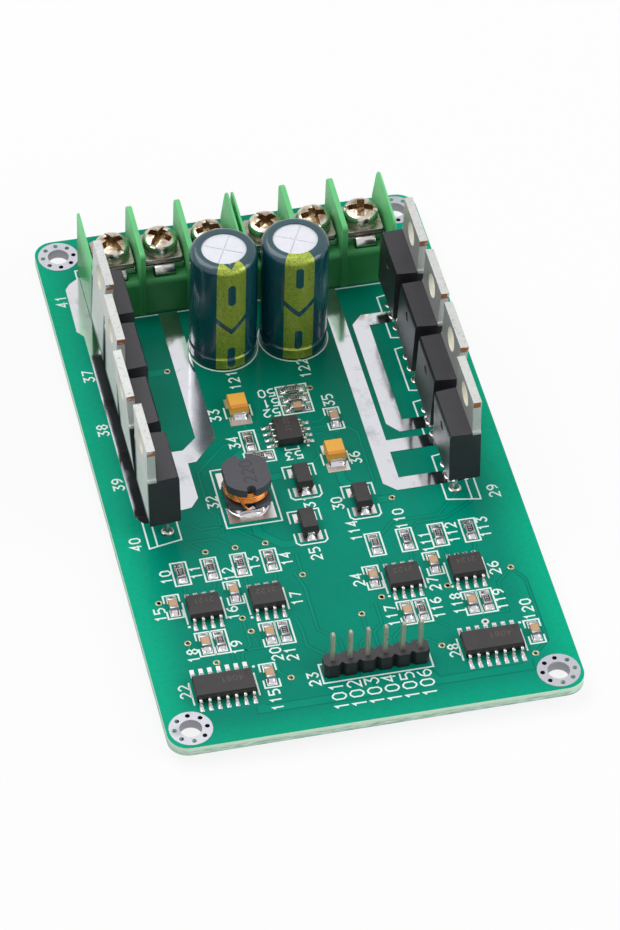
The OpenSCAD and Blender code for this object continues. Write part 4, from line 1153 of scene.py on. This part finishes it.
def winding(material):
    """Two layers of turns, with one end of the wire crossing down over the front."""
    low, high = corners("inductor_winding")
    c = (low + high) / 2
    outer = (high.x - low.x) / 2 + 0.06
    dice = random.Random(3)
    strands = []
    for layer, radius in enumerate((outer - WIRE * 1.3, outer - WIRE / 2)):
        points = []
        for k in range(TURNS * TURN_STEPS + 1):
            t = k / TURN_STEPS
            climb = low.z + WIRE / 2 + (high.z - low.z - WIRE) * t / TURNS
            if layer:
                climb = low.z + high.z - climb
            a = 2 * math.pi * t + math.pi / 2
            wander = math.sin(a * 0.37 + layer) * 0.09
            r = radius + wander * 0.4
            points.append((c.x + r * math.cos(a), c.y + r * math.sin(a), climb + wander))
        strands.append((points, False))
    crossing = []
    for k in range(CROSSING_STEPS + 1):
        t = k / CROSSING_STEPS
        a = math.radians(-122 + 18 * t)
        r = outer + WIRE * 0.35 + 0.1 * t
        z = high.z - 0.2 - (high.z - low.z - 0.1) * t + dice.uniform(-0.02, 0.02)
        crossing.append((c.x + r * math.cos(a), c.y + r * math.sin(a), z))
    # Its end goes down into the solder in front
    crossing.append((c.x - 0.4, c.y - outer - 0.45, low.z - 0.5))
    crossing.append((c.x - 0.2, c.y - outer - 0.5, low.z - 1.0))
    strands.append((crossing, False))
    piece = draw("winding_turns", strands, WIRE)
    bpy.ops.object.shade_smooth()
    return dress(piece, material, "enamelled_copper", "inductor_winding")


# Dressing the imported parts

def dress_parts():
    """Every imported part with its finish, and most with their edges rounded."""
    leads = tinned_finish("lead_tin", "969592", "CECDC9", 0.2)
    ends = tinned_finish("end_tin", "6E6E72", "A9AAAE", 0.25)
    solder = solder_finish()
    moulded = epoxy_finish("transistor_epoxy", "131217", "2B2930", 9.0, 0.36)
    chip = epoxy_finish("chip_epoxy", "161415", "302C2D", 12.0, 0.45)
    tab = tab_finish()
    soften("board", 0.06, solder_mask_finish(), 1, 60)
    coat("component_pads", tinned_finish("pad_tin", "B9B3B2", "D6D2D2", 0.26))
    coat("power_tracks", tinned_finish("hot_tin", "B3B4BA", "DEDFE4", 0.07))
    coat("mounting_pads", tinned_finish("ring_tin", "9A9BA2", "B4B4BD", 0.34))
    coat("solder_joints", nickel_finish("joint_solder", "C4C3C0", "6E675C", 0.16))
    coat("capacitor_leads", leads)
    rubber = even_finish("seal_rubber", "1E1E20", "38383A", 0.6, 0.2, 0.02)
    block = block_finish()
    plates = nickel_finish("washer_nickel", "A8A298", "6A6152", 0.28)
    for side, stripe_at, slot_z in (("left", 2.3, TOP + 15.2), ("right", -3.9, TOP + 16.7)):
        soften("terminal_block_" + side, 0.45, block, 4)
        soften("terminal_screws_" + side, 0.07, screw_finish(side), 2, 30)
        soften("clamp_washers_" + side, 0.12, plates)
        soften("terminal_contacts_" + side, 0.10, leads)
        turn_scores("capacitor_can_" + side, can_finish())
        coat("capacitor_seal_" + side, rubber)
        coat("capacitor_sleeve_" + side, sleeve_finish(side, stripe_at, slot_z))
    for k in range(1, 9):
        soften("mosfet_body_%d" % k, 0.13, moulded)
        soften("mosfet_tab_%d" % k, 0.06, tab)
    for parts, width, material, segments in (
            (["mosfet_side_legs"], 0.05, leads, 1),
            (["inductor_core"], 0.18, ferrite_finish(), 3),
            (["inductor_terminals"], 0.05, solder, 1),
            (TANTALUMS, 0.10, tantalum_finish(), 2),
            (["tantalum_terminals"], 0.03, leads, 1),
            (CHIPS, 0.06, chip, 2),
            (["chip_leads"], 0.03, leads, 1),
            (["diode_bodies"], 0.06, chip, 2),
            (["diode_terminals"], 0.04, leads, 1),
            (["resistor_bodies"], 0.03, resistor_finish(), 1),
            (["resistor_terminations"], 0.06, ends, 2),
            (["ceramic_bodies"], 0.05, ceramic_finish(), 2),
            (["ceramic_terminations"], 0.08, ends, 2)):
        for node in parts:
            soften(node, width, material, segments)
    soften("header_strip", 0.05, strip_finish(), 1, 60)
    soften("header_pins", 0.03, pin_finish(), 1)
    winding(enamel_finish())
    solder_mounds(solder)
    via_rings(tinned_finish("via_tin", "87805F", "ADA88C", 0.25))


def dress_board():
    """The printing on the board and its parts, and the copper under the mask."""
    white = even_finish("printing_ink", "E2FAF4", "F4FFFC")
    grey = even_finish("resistor_ink", "B5B2AC", "DAD7D0")
    dark = even_finish("ferrite_ink", "26262A", "323238")
    faint = even_finish("chip_ink", "463F38", "5C534A")
    printing = ribbons("board_printing", print_board(), 0.25, INK_H, TOP + 0.014)
    dress(printing, white, "mask_green")
    frames = []
    codes = []
    for k, (spot, size) in enumerate(solids("resistor_bodies")):
        frames.append(rectangle(spot.x, spot.y, size.x * 0.84, size.y * 0.80))
        turn = 180 if size.x > size.y else 90
        codes += number(100 + 11 * (k % 4), spot.x, spot.y, turn, 0.4)
    level = corners("resistor_bodies")[1].z
    dress(ribbons("resistor_printing", frames, 0.10, INK_H, level), grey, "resistor_black")
    dress(ribbons("resistor_codes", codes, 0.07, INK_H, level), grey, "resistor_black")
    for node in CHIPS + ["inductor_core"]:
        strokes, width = print_top(node)
        marking = ribbons(node + "_number", strokes, width, MARK_H, corners(node)[1].z - SUNK)
        dress(marking, faint if node in CHIPS else dark, slot_of(node))
    copper = masked_finish("masked_copper", "00876E", "00967D")
    gap = masked_finish("masked_gap", "007560", "007F69")
    for name, routes, width, level in COPPER:
        strokes = [(route, False) for route in routes]
        gaps = ribbons(name + "_gaps", strokes, width + GAP_EXTRA, GAP_H, level)
        dress(gaps, gap, "mask_green")
        dress(ribbons(name + "_routes", strokes, width, ROUTE_H, level), copper, "mask_green")


# Stage, light and camera

# The photograph's view, found from the board's edges: turned, tilted down and rolled by
# these angles in radians, from an offset in millimetres
VIEW_TURN = 0.257
VIEW_TILT = 0.794
VIEW_ROLL = -0.037
VIEW_OFFSET = Vector((6.375, -1.605, 699.0))
LENS = 184.06
SENSOR = 36
SHIFT_X = -0.03405
SHIFT_Y = 0.00124
# The world's strength as light, and as what the camera and reflections see
SKY_LIGHT = 0.5
SKY_SEEN = 0.96
# How much of the floor that the camera and reflections see is plain white
FLOOR_WHITE = 0.86


def make_camera():
    """The photograph's view."""
    spin = (Matrix.Rotation(-VIEW_TURN, 3, "Z")
            @ Matrix.Rotation(math.pi / 2 - VIEW_TILT, 3, "X")
            @ Matrix.Rotation(-VIEW_ROLL, 3, "Z"))
    place = (spin @ VIEW_OFFSET + Vector((0, 0, TOP))) * MM
    data = bpy.data.cameras.new("photo_view")
    data.lens = LENS
    data.sensor_width = SENSOR
    data.shift_x = SHIFT_X
    data.shift_y = SHIFT_Y
    data.clip_start = 0.01
    data.clip_end = 20
    camera = bpy.data.objects.new("photo_view", data)
    camera.matrix_world = Matrix.Translation(place) @ spin.to_4x4()
    bpy.context.collection.objects.link(camera)
    bpy.context.scene.camera = camera


def make_light(name, place, size, power):
    """A soft rectangular lamp, turned to the board."""
    data = bpy.data.lights.new(name, "AREA")
    data.shape = "RECTANGLE"
    data.size, data.size_y = size
    data.energy = power
    lamp = bpy.data.objects.new(name, data)
    lamp.location = place
    lamp.rotation_euler = (-Vector(place)).to_track_quat("-Z", "Y").to_euler()
    bpy.context.collection.objects.link(lamp)


def make_floor():
    """Pale paper that takes shadows, and shows white to the camera and in reflections."""
    bpy.ops.object.select_all(action="DESELECT")
    bpy.ops.mesh.primitive_plane_add(size=6, location=(0, 0, 0))
    floor = made()
    floor.name = "floor"
    paper = Finish("floor_paper", Roughness=0.9, Specular_IOR_Level=0.0)
    tone = paper.mix(paper.noise(0.01, 2.0), (0.86, 0.86, 0.86, 1), (0.9, 0.9, 0.9, 1))
    paper.set("Base Color", tone)
    white = paper.add("ShaderNodeEmission", Color=(1, 1, 1, 1), Strength=1.0)
    lit = Value(paper, paper.shader.outputs[0])
    blend = paper.add("ShaderNodeMixShader", _0=paper.seen() * FLOOR_WHITE, _1=lit, _2=white)
    out = next(n for n in paper.tree.nodes if n.type == "OUTPUT_MATERIAL")
    paper.feed(out.inputs["Surface"], blend)
    floor.data.materials.append(paper.material)


def make_sky():
    """An even white world, dimmer as light than as what is seen."""
    world = bpy.data.worlds.new("studio")
    world.use_nodes = True
    bpy.context.scene.world = world
    sky = Nodes(world.node_tree)
    white = sky.tree.nodes["Background"]
    white.inputs["Color"].default_value = (1, 1, 1, 1)
    level = sky.add("ShaderNodeMapRange", Value=sky.seen(), To_Min=SKY_LIGHT, To_Max=SKY_SEEN)
    sky.feed(white.inputs["Strength"], level)


make_camera()
dress_parts()
dress_board()
make_floor()
make_sky()
make_light("softbox", (-0.25, 0.28, 0.62), (0.7, 0.5), 2.7)
make_light("fill", (0.6, -0.35, 0.4), (0.5, 0.5), 2.4)
bpy.context.scene.view_settings.view_transform = "Standard"
